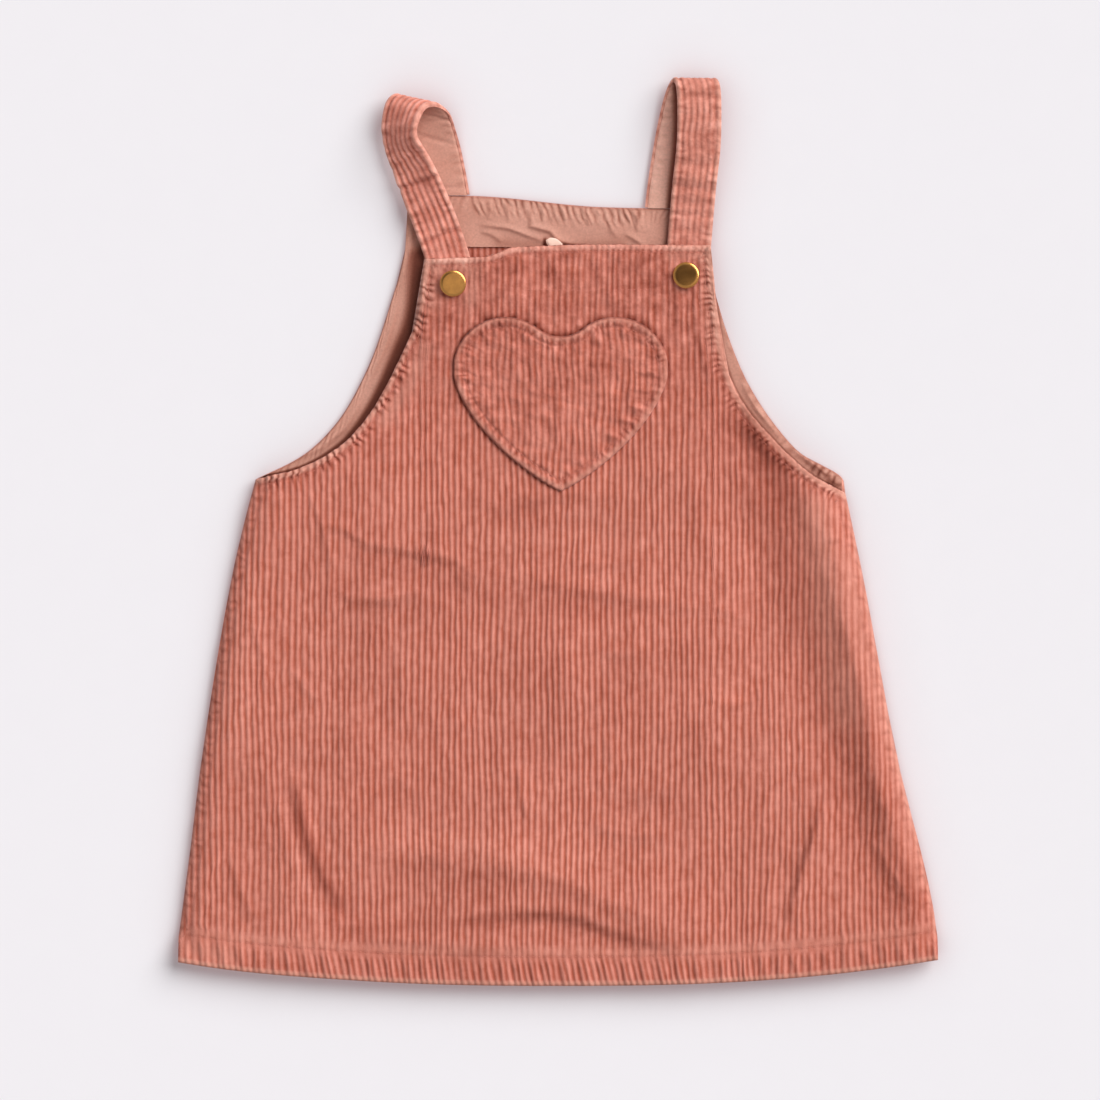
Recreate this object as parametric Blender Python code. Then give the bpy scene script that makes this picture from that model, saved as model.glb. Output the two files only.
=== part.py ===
"""A toddler's corduroy pinafore dress, laid flat on its back.

Units are metres and +Z is up. The dress lies on the plane z = 0 with its straps towards +Y
and its bib uppermost, and the origin is under the middle of its outline.

Every cloth piece is a closed wall. The panels are made of columns that run along the cloth's
grain, one on each ridge of the corduroy and one in each groove, and the straps are rings
swept along a path.
"""

import math
from collections import namedtuple

import bmesh
import bpy
import numpy as np
from mathutils import Matrix, Vector

Point = namedtuple("Point", "x y")
Column = namedtuple("Column", "x low high ridge")
Fold = namedtuple("Fold", "x y angle half_length half_width rise")
Station = namedtuple("Station", "x y z yaw lift")
Snap = namedtuple("Snap", "x y tilt_x tilt_y")

# ---------------------------------------------------------------- driving dimensions
WALE_PITCH = 0.00306        # corduroy with about 8 ridges to the inch
WALE_RISE = 0.0005
CORD_WALL = 0.0013          # corduroy between its ridges
STRAP_WALL = 0.0012
LINING_WALL = 0.0010
SEAM_GAP = 0.0003

HEM_DEPTH = 0.0150          # the folded-up band along the bottom
HEM_STEP = 0.0015
HEM_BULK = 0.0004           # how much the folded band stands proud
BACK_HEM_SHORT = 0.0015     # the back panel ends this far inside the front one
HEM_SIDE_Y = -0.2140        # bottom edge at the two side seams
HEM_MIDDLE_DROP = 0.0130    # how far the bottom edge bows down between them
HEM_BOW = 2.5

# Points along each column, and how closely a plain face follows the outline with fewer columns.
FRONT_ROWS = 13
BACK_ROWS = 5
FACING_ROWS = 3
HEART_ROWS = 5
PLAIN_FIT = 0.0003
PLAIN_COLUMNS = 10
SHORT_COLUMN_HEM = (0.30, 0.36)   # most of a short column that the hem and its step may take

STRAP_WIDTH = 0.0220
STRAP_WALES = 7

BIB_HEIGHT = 0.0075         # underside of the front above the ground, at the bib
SKIRT_HEIGHT = 0.0080       # and in the skirt, where air lies between the layers
BIB_Y = 0.070
SKIRT_Y = -0.010
SIDE_ROUND = 0.014          # the front comes down to its side seams over this width
SIDE_FULLNESS = 0.8
UNDERARM_FACING_Y = (-0.010, 0.012)   # the facing's bulk in the side seam starts here

CAP_RADIUS = 0.0066
CAP_HEIGHT = 0.0016
CAP_RIM = 0.0006
CAP_DISH = 0.00015
CAP_SEGMENTS = 24
STUD_RADIUS = 0.0045
STUD_HEIGHT = 0.0010

LABEL_WIDTH = 0.0085
LABEL_LENGTH = 0.0160
LABEL_CORNER = Point(-0.0058, 0.1466)
LABEL_TURN = math.radians(-27)

# ---------------------------------------------------------------- outlines
# Each sewing edge runs from left to right. The corners are where two edges meet.
LEFT_SIDE = [
    Point(-0.1897, -0.2015),
    Point(-0.1875, -0.1868),
    Point(-0.1780, -0.1118),
    Point(-0.1630, -0.0218),
    Point(-0.1560, 0.0083),
    Point(-0.1512, 0.0262),
]
LEFT_ARMHOLE = [
    LEFT_SIDE[-1],
    Point(-0.1289, 0.0316),
    Point(-0.1082, 0.0431),
    Point(-0.0936, 0.0595),
    Point(-0.0764, 0.0922),
    Point(-0.0699, 0.1086),
    Point(-0.0669, 0.1361),
]
FRONT_NECK = [
    LEFT_ARMHOLE[-1],
    Point(-0.0361, 0.1373),
    Point(-0.0208, 0.1420),
    Point(0.0250, 0.1433),
    Point(0.0763, 0.1429),
]
RIGHT_ARMHOLE = [
    FRONT_NECK[-1],
    Point(0.0809, 0.0990),
    Point(0.0832, 0.0860),
    Point(0.0888, 0.0703),
    Point(0.1073, 0.0463),
    Point(0.1276, 0.0278),
    Point(0.1438, 0.0192),
]
RIGHT_SIDE = [
    RIGHT_ARMHOLE[-1],
    Point(0.1525, -0.0218),
    Point(0.1695, -0.1118),
    Point(0.1875, -0.1868),
    Point(0.1897, -0.2015),
]
BACK_LEFT_ARMHOLE = [
    LEFT_SIDE[-1],
    Point(-0.1280, 0.0379),
    Point(-0.1108, 0.0543),
    Point(-0.0944, 0.0836),
    Point(-0.0832, 0.1163),
    Point(-0.0764, 0.1422),
    Point(-0.0750, 0.1683),
]
BACK_NECK = [
    BACK_LEFT_ARMHOLE[-1],
    Point(-0.0440, 0.1680),
    Point(0.0210, 0.1624),
    Point(0.0440, 0.1618),
    Point(0.0730, 0.1615),
]
BACK_RIGHT_ARMHOLE = [
    BACK_NECK[-1],
    Point(0.0780, 0.1230),
    Point(0.0832, 0.1036),
    Point(0.0952, 0.0740),
    Point(0.1128, 0.0481),
    Point(0.1219, 0.0388),
    Point(0.1330, 0.0327),
    Point(0.1410, 0.0280),
    Point(0.1434, 0.0245),
    RIGHT_ARMHOLE[-1],
]
# Lower edge of the one-piece facing round the back neck and both armholes.
FACING_LOWER = [
    Point(-0.1495, 0.0120),
    Point(-0.1180, 0.0190),
    Point(-0.0860, 0.0480),
    Point(-0.0640, 0.1000),
    Point(-0.0540, 0.1400),
    Point(-0.0440, 0.1424),
    Point(0.0440, 0.1412),
    Point(0.0540, 0.1360),
    Point(0.0610, 0.0960),
    Point(0.0780, 0.0560),
    Point(0.1120, 0.0190),
    Point(0.1420, 0.0060),
]
FRONT_EDGES = [LEFT_SIDE, LEFT_ARMHOLE, FRONT_NECK, RIGHT_ARMHOLE, RIGHT_SIDE]
BACK_EDGES = [LEFT_SIDE, BACK_LEFT_ARMHOLE, BACK_NECK, BACK_RIGHT_ARMHOLE, RIGHT_SIDE]

# The largest folds of the front: a trough has a negative rise.
FRONT_FOLDS = [
    Fold(-0.1190, -0.1590, -68, 0.042, 0.0090, -0.0014),
    Fold(-0.1420, -0.1450, -78, 0.080, 0.0110, 0.0012),
    Fold(0.1360, -0.0120, -76, 0.075, 0.0110, 0.0026),
    Fold(0.1600, -0.1150, -76, 0.080, 0.0090, 0.0022),
    Fold(0.0985, -0.0110, -74, 0.064, 0.0135, -0.0018),
    Fold(0.1420, -0.1250, -72, 0.075, 0.0110, -0.0018),
    Fold(0.0160, -0.1760, -18, 0.070, 0.0140, 0.0014),
    Fold(0.0120, -0.2010, -12, 0.060, 0.0090, -0.0012),
    Fold(0.1330, -0.1560, 68, 0.040, 0.0080, 0.0012),
    Fold(0.1000, 0.0330, -58, 0.032, 0.0080, -0.0009),
]

# Heart-shaped patch pocket: two round lobes over sides that swell out from a blunt point.
HEART_MIDDLE = Point(0.0013, 0.0808)
HEART_LOBE_OFFSET = 0.0275
HEART_LOBE_RADIUS = 0.0262
HEART_CLEFT_HALF = 0.0100
HEART_CLEFT_DROP = 0.0030
HEART_POINT_Y = 0.0202
HEART_SIDE_START = 1.15     # how blunt the point is
HEART_SIDE_END = 0.60       # how round the sides are where they meet the lobes
HEART_WALES = 34

# Centre of each strap's inner face, from the back neckline over the top to behind the bib.
# yaw turns a strap's width in plan, and lift raises its right edge, both in degrees.
LEFT_STRAP = [
    Station(-0.0552, 0.1687, 0.0012, 0, 0),
    Station(-0.0572, 0.1790, 0.0012, 8, 0),
    Station(-0.0595, 0.1900, 0.0014, 8, 0),
    Station(-0.0622, 0.2002, 0.0030, 4, 3),
    Station(-0.0650, 0.2098, 0.0056, -6, 8),
    Station(-0.0706, 0.2151, 0.0096, -13, 12),
    Station(-0.0760, 0.2124, 0.0132, -8, 24),
    Station(-0.0790, 0.2030, 0.0140, 0, 36),
    Station(-0.0788, 0.1955, 0.0132, 6, 40),
    Station(-0.0752, 0.1870, 0.0118, 14, 32),
    Station(-0.0715, 0.1790, 0.0104, 18, 24),
    Station(-0.0668, 0.1680, 0.0088, 18, 14),
    Station(-0.0612, 0.1540, 0.0068, 18, 4),
    Station(-0.0572, 0.1430, 0.0055, 16, 0),
    Station(-0.0545, 0.1340, 0.0047, 14, 0),
    Station(-0.0525, 0.1238, 0.0042, 10, 0),
    Station(-0.0510, 0.1160, 0.0042, 10, 0),
]
RIGHT_STRAP = [
    Station(0.0545, 0.1622, 0.0012, 0, 0),
    Station(0.0560, 0.1740, 0.0012, -8, 0),
    Station(0.0580, 0.1870, 0.0014, -8, 0),
    Station(0.0605, 0.2010, 0.0022, -8, 0),
    Station(0.0638, 0.2155, 0.0036, -6, 0),
    Station(0.0672, 0.2246, 0.0064, -2, 0),
    Station(0.0696, 0.2237, 0.0098, 0, 0),
    Station(0.0705, 0.2135, 0.0118, 0, 0),
    Station(0.0702, 0.1930, 0.0110, -4, 0),
    Station(0.0682, 0.1740, 0.0088, -6, 0),
    Station(0.0667, 0.1570, 0.0062, -5, 0),
    Station(0.0657, 0.1450, 0.0053, -4, 0),
    Station(0.0648, 0.1360, 0.0047, -4, 0),
    Station(0.0640, 0.1278, 0.0042, -4, 0),
    Station(0.0634, 0.1190, 0.0042, -4, 0),
]
STRAP_STEPS = 2             # rings for each station
STRAP_PLAIN_POINTS = 5      # points across a face that has no ridges
STRAP_RIDGES_IN = (0.10, 0.30)    # the ridges are pressed flat on the ground,
STRAP_RIDGES_OUT = (0.81, 0.87)   # and behind the bib, past these shares of a strap's length

LEFT_SNAP = Snap(-0.0525, 0.1238, 2.5, 3.0)
RIGHT_SNAP = Snap(0.0640, 0.1278, -2.5, -3.0)

CORDUROY_PINK = (0.539, 0.184, 0.128)
LINING_PINK = (0.604, 0.292, 0.220)
BRASS_YELLOW = (0.560, 0.330, 0.100)
LABEL_PINK = (0.900, 0.560, 0.450)


# ---------------------------------------------------------------- curves and heights
def ease(share):
    """A smooth step from 0 to 1."""
    share = min(max(share, 0.0), 1.0)
    return share * share * (3 - 2 * share)


def ramp(value, limits):
    """A smooth step from 0 at the first limit to 1 at the second."""
    start, end = limits
    return ease((value - start) / (end - start))


def curve_through(points):
    """y as a smooth function of x through the points, with no overshoot between them."""
    x = np.array([p.x for p in points])
    y = np.array([p.y for p in points])
    width = np.diff(x)
    slope = np.diff(y) / width
    lean = np.zeros(len(x))
    lean[0], lean[-1] = slope[0], slope[-1]
    for i in range(1, len(x) - 1):
        before, after = slope[i - 1], slope[i]
        if before * after > 0:
            lean[i] = 2 * before * after / (before + after)

    def at(place):
        i = int(np.clip(np.searchsorted(x, place) - 1, 0, len(width) - 1))
        t = (place - x[i]) / width[i]
        rise = y[i] + t * t * (3 - 2 * t) * (y[i + 1] - y[i])
        bend = t * (1 - t) ** 2 * lean[i] - t * t * (1 - t) * lean[i + 1]
        return rise + width[i] * bend

    return at


def outline_of(edges):
    """The height of an outline that is made of several edges, as a function of x."""
    curves = [curve_through(edge) for edge in edges]

    def at(place):
        for edge, curve in zip(edges, curves):
            if place <= edge[-1].x:
                return curve(place)
        return curves[-1](place)

    return at


def hem_y(x):
    """The bottom edge, which bows down between the side seams."""
    share = min(abs(x) / RIGHT_SIDE[-1].x, 1.0)
    return HEM_SIDE_Y - HEM_MIDDLE_DROP * (1 - share ** HEM_BOW)


def distance_to_path(x, y, path):
    """The distance from a point to a line of points."""
    best = math.inf
    for a, b in zip(path, path[1:]):
        dx, dy = b.x - a.x, b.y - a.y
        share = ((x - a.x) * dx + (y - a.y) * dy) / (dx * dx + dy * dy)
        share = min(max(share, 0.0), 1.0)
        best = min(best, math.hypot(x - a.x - share * dx, y - a.y - share * dy))
    return best


def fold_rise(fold, x, y):
    """How much one fold lifts or lowers the cloth at a point."""
    turn = math.radians(fold.angle)
    along = (x - fold.x) * math.cos(turn) + (y - fold.y) * math.sin(turn)
    across = (y - fold.y) * math.cos(turn) - (x - fold.x) * math.sin(turn)
    fade = 1 - min(abs(along) / fold.half_length, 1.0) ** 2
    return fold.rise * fade * math.exp(-((across / fold.half_width) ** 2))


def front_underside(x, y):
    """Height of the front panel's inner face above the ground."""
    seam = CORD_WALL + SEAM_GAP
    seam += ramp(y, UNDERARM_FACING_Y) * (LINING_WALL + SEAM_GAP)
    body = SKIRT_HEIGHT + ramp(y, (SKIRT_Y, BIB_Y)) * (BIB_HEIGHT - SKIRT_HEIGHT)
    body += sum(fold_rise(fold, x, y) for fold in FRONT_FOLDS)
    away = min(distance_to_path(x, y, LEFT_SIDE), distance_to_path(x, y, RIGHT_SIDE))
    inside = 1 - min(away / SIDE_ROUND, 1.0)
    return seam + (body - seam) * (1 - inside ** 2) ** SIDE_FULLNESS


def front_outside(x, y, low):
    """Height of the front panel's outer face between its ridges. low is the bottom edge there."""
    hem = 1 - ease((y - low - HEM_DEPTH) / HEM_STEP)
    return front_underside(x, y) + CORD_WALL + HEM_BULK * hem


# ---------------------------------------------------------------- walls made of columns
def hem_rows(count):
    """Rows of a panel that has a hem: two of them mark the hem, and the others are even."""

    def rows(low, high):
        length = high - low
        hem = min(HEM_DEPTH, SHORT_COLUMN_HEM[0] * length)
        step = min(HEM_DEPTH + HEM_STEP, SHORT_COLUMN_HEM[1] * length)
        return [low, low + hem, *np.linspace(low + step, high, count - 2)]

    return rows


def even_rows(count):
    """Rows evenly spaced from the bottom to the top of each column."""
    return lambda low, high: list(np.linspace(low, high, count))


def columns_between(corners, pitch, low_at, high_at):
    """Columns half a pitch apart, ridge and groove by turns, with a column on each corner."""
    places = [corners[0]]
    for start, end in zip(corners, corners[1:]):
        count = max(1, round((end - start) / (pitch / 2)))
        places += list(np.linspace(start, end, count + 1)[1:])
    return [Column(x, low_at(x), high_at(x), i % 2) for i, x in enumerate(places)]


def needed_columns(columns):
    """Numbers of the columns that a plain face needs to follow the outline closely."""
    kept = [0]
    while kept[-1] < len(columns) - 1:
        start = kept[-1]
        end = start + 1
        while end + 1 < len(columns) and end + 1 - start <= PLAIN_COLUMNS:
            if bow_between(columns[start:end + 2]) > PLAIN_FIT:
                break
            end += 1
        kept.append(end)
    return kept


def bow_between(columns):
    """How far the edges stray from straight lines between the first and the last column."""
    first, last = columns[0], columns[-1]
    most = 0.0
    for column in columns[1:-1]:
        share = (column.x - first.x) / (last.x - first.x)
        for start, end, here in ((first.high, last.high, column.high),
                                 (first.low, last.low, column.low)):
            most = max(most, abs(start + share * (end - start) - here))
    return most


def wall_of_columns(name, columns, rows, top_z, bottom_z, ridged, material):
    """A closed wall. A ridged one has every column on its top, and fewer on its plain faces.

    top_z and bottom_z give the heights of the two faces at a column and a y.
    """
    plain = needed_columns(columns)
    row_count = len(rows(0.0, 1.0))
    mesh = bmesh.new()

    def grid(numbers, height, rise):
        lines = []
        for column in (columns[n] for n in numbers):
            lift = rise * column.ridge
            places = rows(column.low, column.high)
            lines.append([mesh.verts.new((column.x, y, height(column, y) + lift)) for y in places])
        return lines

    top_numbers = list(range(len(columns))) if ridged else plain
    top = grid(top_numbers, top_z, WALE_RISE if ridged else 0.0)
    bottom = grid(plain, bottom_z, 0.0)

    for lines, up in ((top, True), (bottom, False)):
        for left, right in zip(lines, lines[1:]):
            for r in range(row_count - 1):
                corners = (left[r], right[r], right[r + 1], left[r + 1])
                mesh.faces.new(corners if up else corners[::-1])
    for r in range(row_count - 1):
        mesh.faces.new((bottom[0][r], top[0][r], top[0][r + 1], bottom[0][r + 1]))
        mesh.faces.new((top[-1][r], bottom[-1][r], bottom[-1][r + 1], top[-1][r + 1]))
    for r in (0, row_count - 1):
        join_edges(mesh, top_numbers, [line[r] for line in top],
                   plain, [line[r] for line in bottom])
    bmesh.ops.recalc_face_normals(mesh, faces=mesh.faces)
    return finished(name, mesh, material)


def join_edges(mesh, top_numbers, top, bottom_numbers, bottom):
    """Closes the gap between two edges whose points stand on the same columns, more or fewer."""
    i, j = 0, 0
    while i < len(top) - 1 or j < len(bottom) - 1:
        next_top = top_numbers[i + 1] if i < len(top) - 1 else math.inf
        next_bottom = bottom_numbers[j + 1] if j < len(bottom) - 1 else math.inf
        if next_top == next_bottom:
            mesh.faces.new((top[i], top[i + 1], bottom[j + 1], bottom[j]))
            i, j = i + 1, j + 1
        elif next_top < next_bottom:
            mesh.faces.new((top[i], top[i + 1], bottom[j]))
            i += 1
        else:
            mesh.faces.new((top[i], bottom[j + 1], bottom[j]))
            j += 1


# ---------------------------------------------------------------- straps
def path_through(stations, steps):
    """A smooth path through the stations, with every column of theirs at each point."""
    data = np.array([tuple(s) for s in stations], float)
    data = np.vstack([2 * data[0] - data[1], data, 2 * data[-1] - data[-2]])
    path = []
    for a, b, c, d in zip(data, data[1:], data[2:], data[3:]):
        for k in range(steps):
            t = k / steps
            path.append(0.5 * (2 * b + (c - a) * t + (2 * a - 5 * b + 4 * c - d) * t * t
                               + (3 * b - a - 3 * c + d) * t ** 3))
    path.append(data[-2])
    return [rested(Station(*point)) for point in path]


def rested(ring):
    """The ring, raised where its lower edge would go into the ground."""
    lowest = STRAP_WALL + STRAP_WIDTH / 2 * abs(math.sin(math.radians(ring.lift)))
    return ring._replace(z=max(ring.z, lowest))


def strap_frames(stations, steps):
    """For each ring of a strap: its place, its width direction and its outward direction."""
    path = path_through(stations, steps)
    places = [Vector((s.x, s.y, s.z)) for s in path]
    frames = []
    for i, ring in enumerate(path):
        along = places[min(i + 1, len(path) - 1)] - places[max(i - 1, 0)]
        yaw, lift = math.radians(ring.yaw), math.radians(ring.lift)
        across = Vector((math.cos(lift) * math.cos(yaw),
                         math.cos(lift) * math.sin(yaw),
                         math.sin(lift)))
        frames.append((places[i], across, along.cross(across).normalized()))
    return frames


def strap_wall(name, frames, inner, outer, wales, material):
    """A strap's wall between two offsets from its path. Its outer face has the ridges."""
    mesh = bmesh.new()
    half = STRAP_WIDTH / 2
    count = 2 * wales + 1 if wales else STRAP_PLAIN_POINTS
    rings = []
    for n, (place, across, out) in enumerate(frames):
        share = n / (len(frames) - 1)
        fade = ramp(share, STRAP_RIDGES_IN) * (1 - ramp(share, STRAP_RIDGES_OUT))
        rise = WALE_RISE * fade if wales else 0.0
        outside = [mesh.verts.new(place + across * side + out * (outer + rise * (k % 2)))
                   for k, side in enumerate(np.linspace(-half, half, count))]
        inside = [mesh.verts.new(place + across * side + out * inner)
                  for side in np.linspace(-half, half, STRAP_PLAIN_POINTS)]
        rings.append((outside, inside))
    for first, second in zip(rings, rings[1:]):
        for face in (0, 1):
            for k in range(len(first[face]) - 1):
                near, far = first[face], second[face]
                mesh.faces.new((near[k], near[k + 1], far[k + 1]))
                mesh.faces.new((near[k], far[k + 1], far[k]))
        for side in (0, -1):
            mesh.faces.new((first[0][side], first[1][side], second[1][side], second[0][side]))
    plain = [round(k * (count - 1) / (STRAP_PLAIN_POINTS - 1)) for k in range(STRAP_PLAIN_POINTS)]
    for outside, inside in (rings[0], rings[-1]):
        join_edges(mesh, list(range(count)), outside, plain, inside)
    bmesh.ops.recalc_face_normals(mesh, faces=mesh.faces)
    return finished(name, mesh, material)


# ---------------------------------------------------------------- objects
def cloth_material(name, colour, roughness, metallic=0.0):
    material = bpy.data.materials.new(name)
    material.use_nodes = True
    shader = material.node_tree.nodes["Principled BSDF"]
    shader.inputs["Base Color"].default_value = (*colour, 1.0)
    shader.inputs["Roughness"].default_value = roughness
    shader.inputs["Metallic"].default_value = metallic
    material.diffuse_color = (*colour, 1.0)
    return material


def finished(name, mesh, material):
    """Turns a bmesh into a named object in the scene."""
    data = bpy.data.meshes.new(name)
    mesh.to_mesh(data)
    mesh.free()
    data.materials.append(material)
    data.shade_smooth()
    data.set_sharp_from_angle(angle=math.radians(40))
    made = bpy.data.objects.new(name, data)
    bpy.context.scene.collection.objects.link(made)
    return made


def turned_disc(name, profile, material):
    """A solid turned about Z from a profile of (radius, height) points, axis to axis."""
    mesh = bmesh.new()
    points = [mesh.verts.new((radius, 0, height)) for radius, height in profile]
    edges = [mesh.edges.new(pair) for pair in zip(points, points[1:])]
    bmesh.ops.spin(mesh, geom=points + edges, cent=(0, 0, 0), axis=(0, 0, 1),
                   angle=math.tau, steps=CAP_SEGMENTS)
    bmesh.ops.remove_doubles(mesh, verts=mesh.verts, dist=1e-6)
    bmesh.ops.recalc_face_normals(mesh, faces=mesh.faces)
    return finished(name, mesh, material)


# ---------------------------------------------------------------- the pieces
def front_panel(material):
    """Bib and skirt in one, with the corduroy's ridges along it."""
    corners = [edge[0].x for edge in FRONT_EDGES] + [RIGHT_SIDE[-1].x]
    columns = columns_between(corners, WALE_PITCH, hem_y, outline_of(FRONT_EDGES))
    wall_of_columns(
        "front_panel", columns, hem_rows(FRONT_ROWS),
        lambda column, y: front_outside(column.x, y, column.low),
        lambda column, y: front_underside(column.x, y),
        True, material)


def back_panel(material):
    """The back lies flat on the ground with its ridges down, pressed flat, so it is plain."""
    corners = [edge[0].x for edge in BACK_EDGES] + [RIGHT_SIDE[-1].x]
    columns = columns_between(
        corners, WALE_PITCH, lambda x: hem_y(x) + BACK_HEM_SHORT, outline_of(BACK_EDGES))
    wall_of_columns(
        "back_panel", columns, even_rows(BACK_ROWS),
        lambda column, y: CORD_WALL, lambda column, y: 0.0, False, material)


def back_facing(material):
    """One facing round the back neck and both armholes, on the inside of the back."""
    start, end = FACING_LOWER[0].x, FACING_LOWER[-1].x
    corners = [start, BACK_NECK[0].x, BACK_NECK[-1].x, end]
    upper = outline_of(BACK_EDGES)
    columns = columns_between(
        corners, WALE_PITCH, curve_through(FACING_LOWER), lambda x: upper(x) - SEAM_GAP)
    floor = CORD_WALL + SEAM_GAP
    wall_of_columns(
        "back_facing", columns, even_rows(FACING_ROWS),
        lambda column, y: floor + LINING_WALL, lambda column, y: floor, False, material)


def heart_edges():
    """Lower and upper edge of the heart, as functions of x."""
    reach = HEART_LOBE_OFFSET + HEART_LOBE_RADIUS
    depth = HEART_MIDDLE.y - HEART_POINT_Y

    def lower(place):
        out = min(abs(place - HEART_MIDDLE.x) / reach, 1.0)
        return HEART_MIDDLE.y - depth * (1 - out ** HEART_SIDE_START) ** HEART_SIDE_END

    def lobe(x):
        return math.sqrt(max(HEART_LOBE_RADIUS ** 2 - (x - HEART_LOBE_OFFSET) ** 2, 0.0))

    def upper(place):
        x = abs(place - HEART_MIDDLE.x)
        into_cleft = max(1 - (x / HEART_CLEFT_HALF) ** 2, 0.0)
        return HEART_MIDDLE.y + lobe(max(x, HEART_CLEFT_HALF)) - HEART_CLEFT_DROP * into_cleft

    return lower, upper


def heart_pocket(material):
    """The patch pocket follows the bib's outer face."""
    lower, upper = heart_edges()
    reach = HEART_LOBE_OFFSET + HEART_LOBE_RADIUS - SEAM_GAP
    corners = [HEART_MIDDLE.x - reach, HEART_MIDDLE.x, HEART_MIDDLE.x + reach]
    columns = columns_between(corners, 2 * reach / HEART_WALES, lower, upper)

    def under(column, y):
        return front_outside(column.x, y, hem_y(column.x)) + WALE_RISE + SEAM_GAP

    wall_of_columns(
        "heart_pocket", columns, even_rows(HEART_ROWS),
        lambda column, y: under(column, y) + LINING_WALL, under, True, material)


def straps(cord, lining):
    """Each strap is a corduroy wall with a plain lining inside it."""
    for side, stations in (("left", LEFT_STRAP), ("right", RIGHT_STRAP)):
        frames = strap_frames(stations, STRAP_STEPS)
        strap_wall(f"strap_{side}", frames, 0.0, STRAP_WALL, STRAP_WALES, cord)
        strap_wall(f"strap_lining_{side}", frames, -SEAM_GAP - LINING_WALL, -SEAM_GAP, 0, lining)


def snaps(brass):
    """A brass cap on the bib and a stud behind it, on the end of each strap."""
    cap = [
        (0.0, 0.0),
        (CAP_RADIUS - CAP_RIM / 2, 0.0),
        (CAP_RADIUS, CAP_RIM / 2),
        (CAP_RADIUS, CAP_HEIGHT - CAP_RIM),
        (CAP_RADIUS - CAP_RIM / 3, CAP_HEIGHT - CAP_RIM / 3),
        (CAP_RADIUS - CAP_RIM, CAP_HEIGHT),
        (CAP_RADIUS - 2 * CAP_RIM, CAP_HEIGHT - CAP_DISH),
        (0.0, CAP_HEIGHT - CAP_DISH),
    ]
    stud = [(0.0, 0.0), (STUD_RADIUS, 0.0), (STUD_RADIUS, STUD_HEIGHT), (0.0, STUD_HEIGHT)]
    for side, snap in (("left", LEFT_SNAP), ("right", RIGHT_SNAP)):
        cloth = front_outside(snap.x, snap.y, hem_y(snap.x)) + WALE_RISE
        room = CAP_RADIUS * math.tan(math.radians(math.hypot(snap.tilt_x, snap.tilt_y)))
        made = turned_disc(f"snap_cap_{side}", cap, brass)
        made.location = (snap.x, snap.y, cloth + SEAM_GAP + room)
        made.rotation_euler = (math.radians(snap.tilt_x), math.radians(snap.tilt_y), 0)
        made = turned_disc(f"snap_stud_{side}", stud, brass)
        underside = front_underside(snap.x, snap.y)
        made.location = (snap.x, snap.y, underside - SEAM_GAP - STUD_HEIGHT)


def label_tab(material):
    """A blank woven label whose corner shows above the bib."""
    mesh = bmesh.new()
    bmesh.ops.create_cube(mesh, size=1.0)
    corner_to_middle = Matrix.Translation((LABEL_WIDTH / 2, -LABEL_LENGTH / 2, 0))
    mesh.transform(corner_to_middle @ Matrix.Diagonal((LABEL_WIDTH, LABEL_LENGTH, LINING_WALL, 1)))
    made = finished("label_tab", mesh, material)
    facing_top = CORD_WALL + SEAM_GAP + LINING_WALL
    made.location = (*LABEL_CORNER, facing_top + SEAM_GAP + LINING_WALL / 2)
    made.rotation_euler = (0, 0, LABEL_TURN)


def main():
    for old in list(bpy.data.objects):
        bpy.data.objects.remove(old)
    cord = cloth_material("corduroy", CORDUROY_PINK, 0.9)
    lining = cloth_material("lining", LINING_PINK, 0.85)
    brass = cloth_material("brass", BRASS_YELLOW, 0.3, metallic=1.0)
    label = cloth_material("label", LABEL_PINK, 0.7)
    front_panel(cord)
    back_panel(cord)
    back_facing(lining)
    heart_pocket(cord)
    straps(cord, lining)
    snaps(brass)
    label_tab(label)


main()
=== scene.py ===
"""Looks of a toddler's corduroy pinafore dress, laid flat on its back.

Units are metres and +Z is up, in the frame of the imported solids. Each cloth piece is a thin
closed shell on its solid's form, with the corduroy's ridges, the creases and the dents of the
sewing worked out from the sizes below. Each piece has an operator, and main() calls them.
"""

import math
from collections import namedtuple

import bmesh
import bpy
import numpy as np
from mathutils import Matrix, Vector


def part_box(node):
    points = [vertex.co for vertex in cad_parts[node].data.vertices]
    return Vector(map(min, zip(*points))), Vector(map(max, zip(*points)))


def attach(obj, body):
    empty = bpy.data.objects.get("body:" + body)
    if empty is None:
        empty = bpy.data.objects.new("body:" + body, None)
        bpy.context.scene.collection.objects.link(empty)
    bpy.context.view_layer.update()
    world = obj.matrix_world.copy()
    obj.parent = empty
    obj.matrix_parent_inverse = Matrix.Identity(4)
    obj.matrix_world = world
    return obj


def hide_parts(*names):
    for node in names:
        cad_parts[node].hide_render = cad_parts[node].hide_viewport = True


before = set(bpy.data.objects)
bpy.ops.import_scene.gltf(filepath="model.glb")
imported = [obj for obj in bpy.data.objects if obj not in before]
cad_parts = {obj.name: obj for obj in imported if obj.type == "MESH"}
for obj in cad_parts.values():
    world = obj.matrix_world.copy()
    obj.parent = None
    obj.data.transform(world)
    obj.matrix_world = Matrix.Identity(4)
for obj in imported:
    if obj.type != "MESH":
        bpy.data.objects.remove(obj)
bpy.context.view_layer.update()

bl_info = {
    "name": "Corduroy pinafore dress",
    "version": (1, 0, 0),
    "blender": (4, 5, 0),
    "location": "3D View > Sidebar > Pinafore",
    "description": "Builds a toddler's corduroy pinafore dress, laid flat",
    "category": "Add Mesh",
}

BODY = "root"

# ------------------------ sizes shared with the solids
WALE_PITCH = 0.00306        # corduroy with about 8 ridges to the inch
WALE_RISE = 0.0005
CORD_WALL = 0.0013
STRAP_WALL = 0.0012
LINING_WALL = 0.0010
SEAM_GAP = 0.0003

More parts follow.
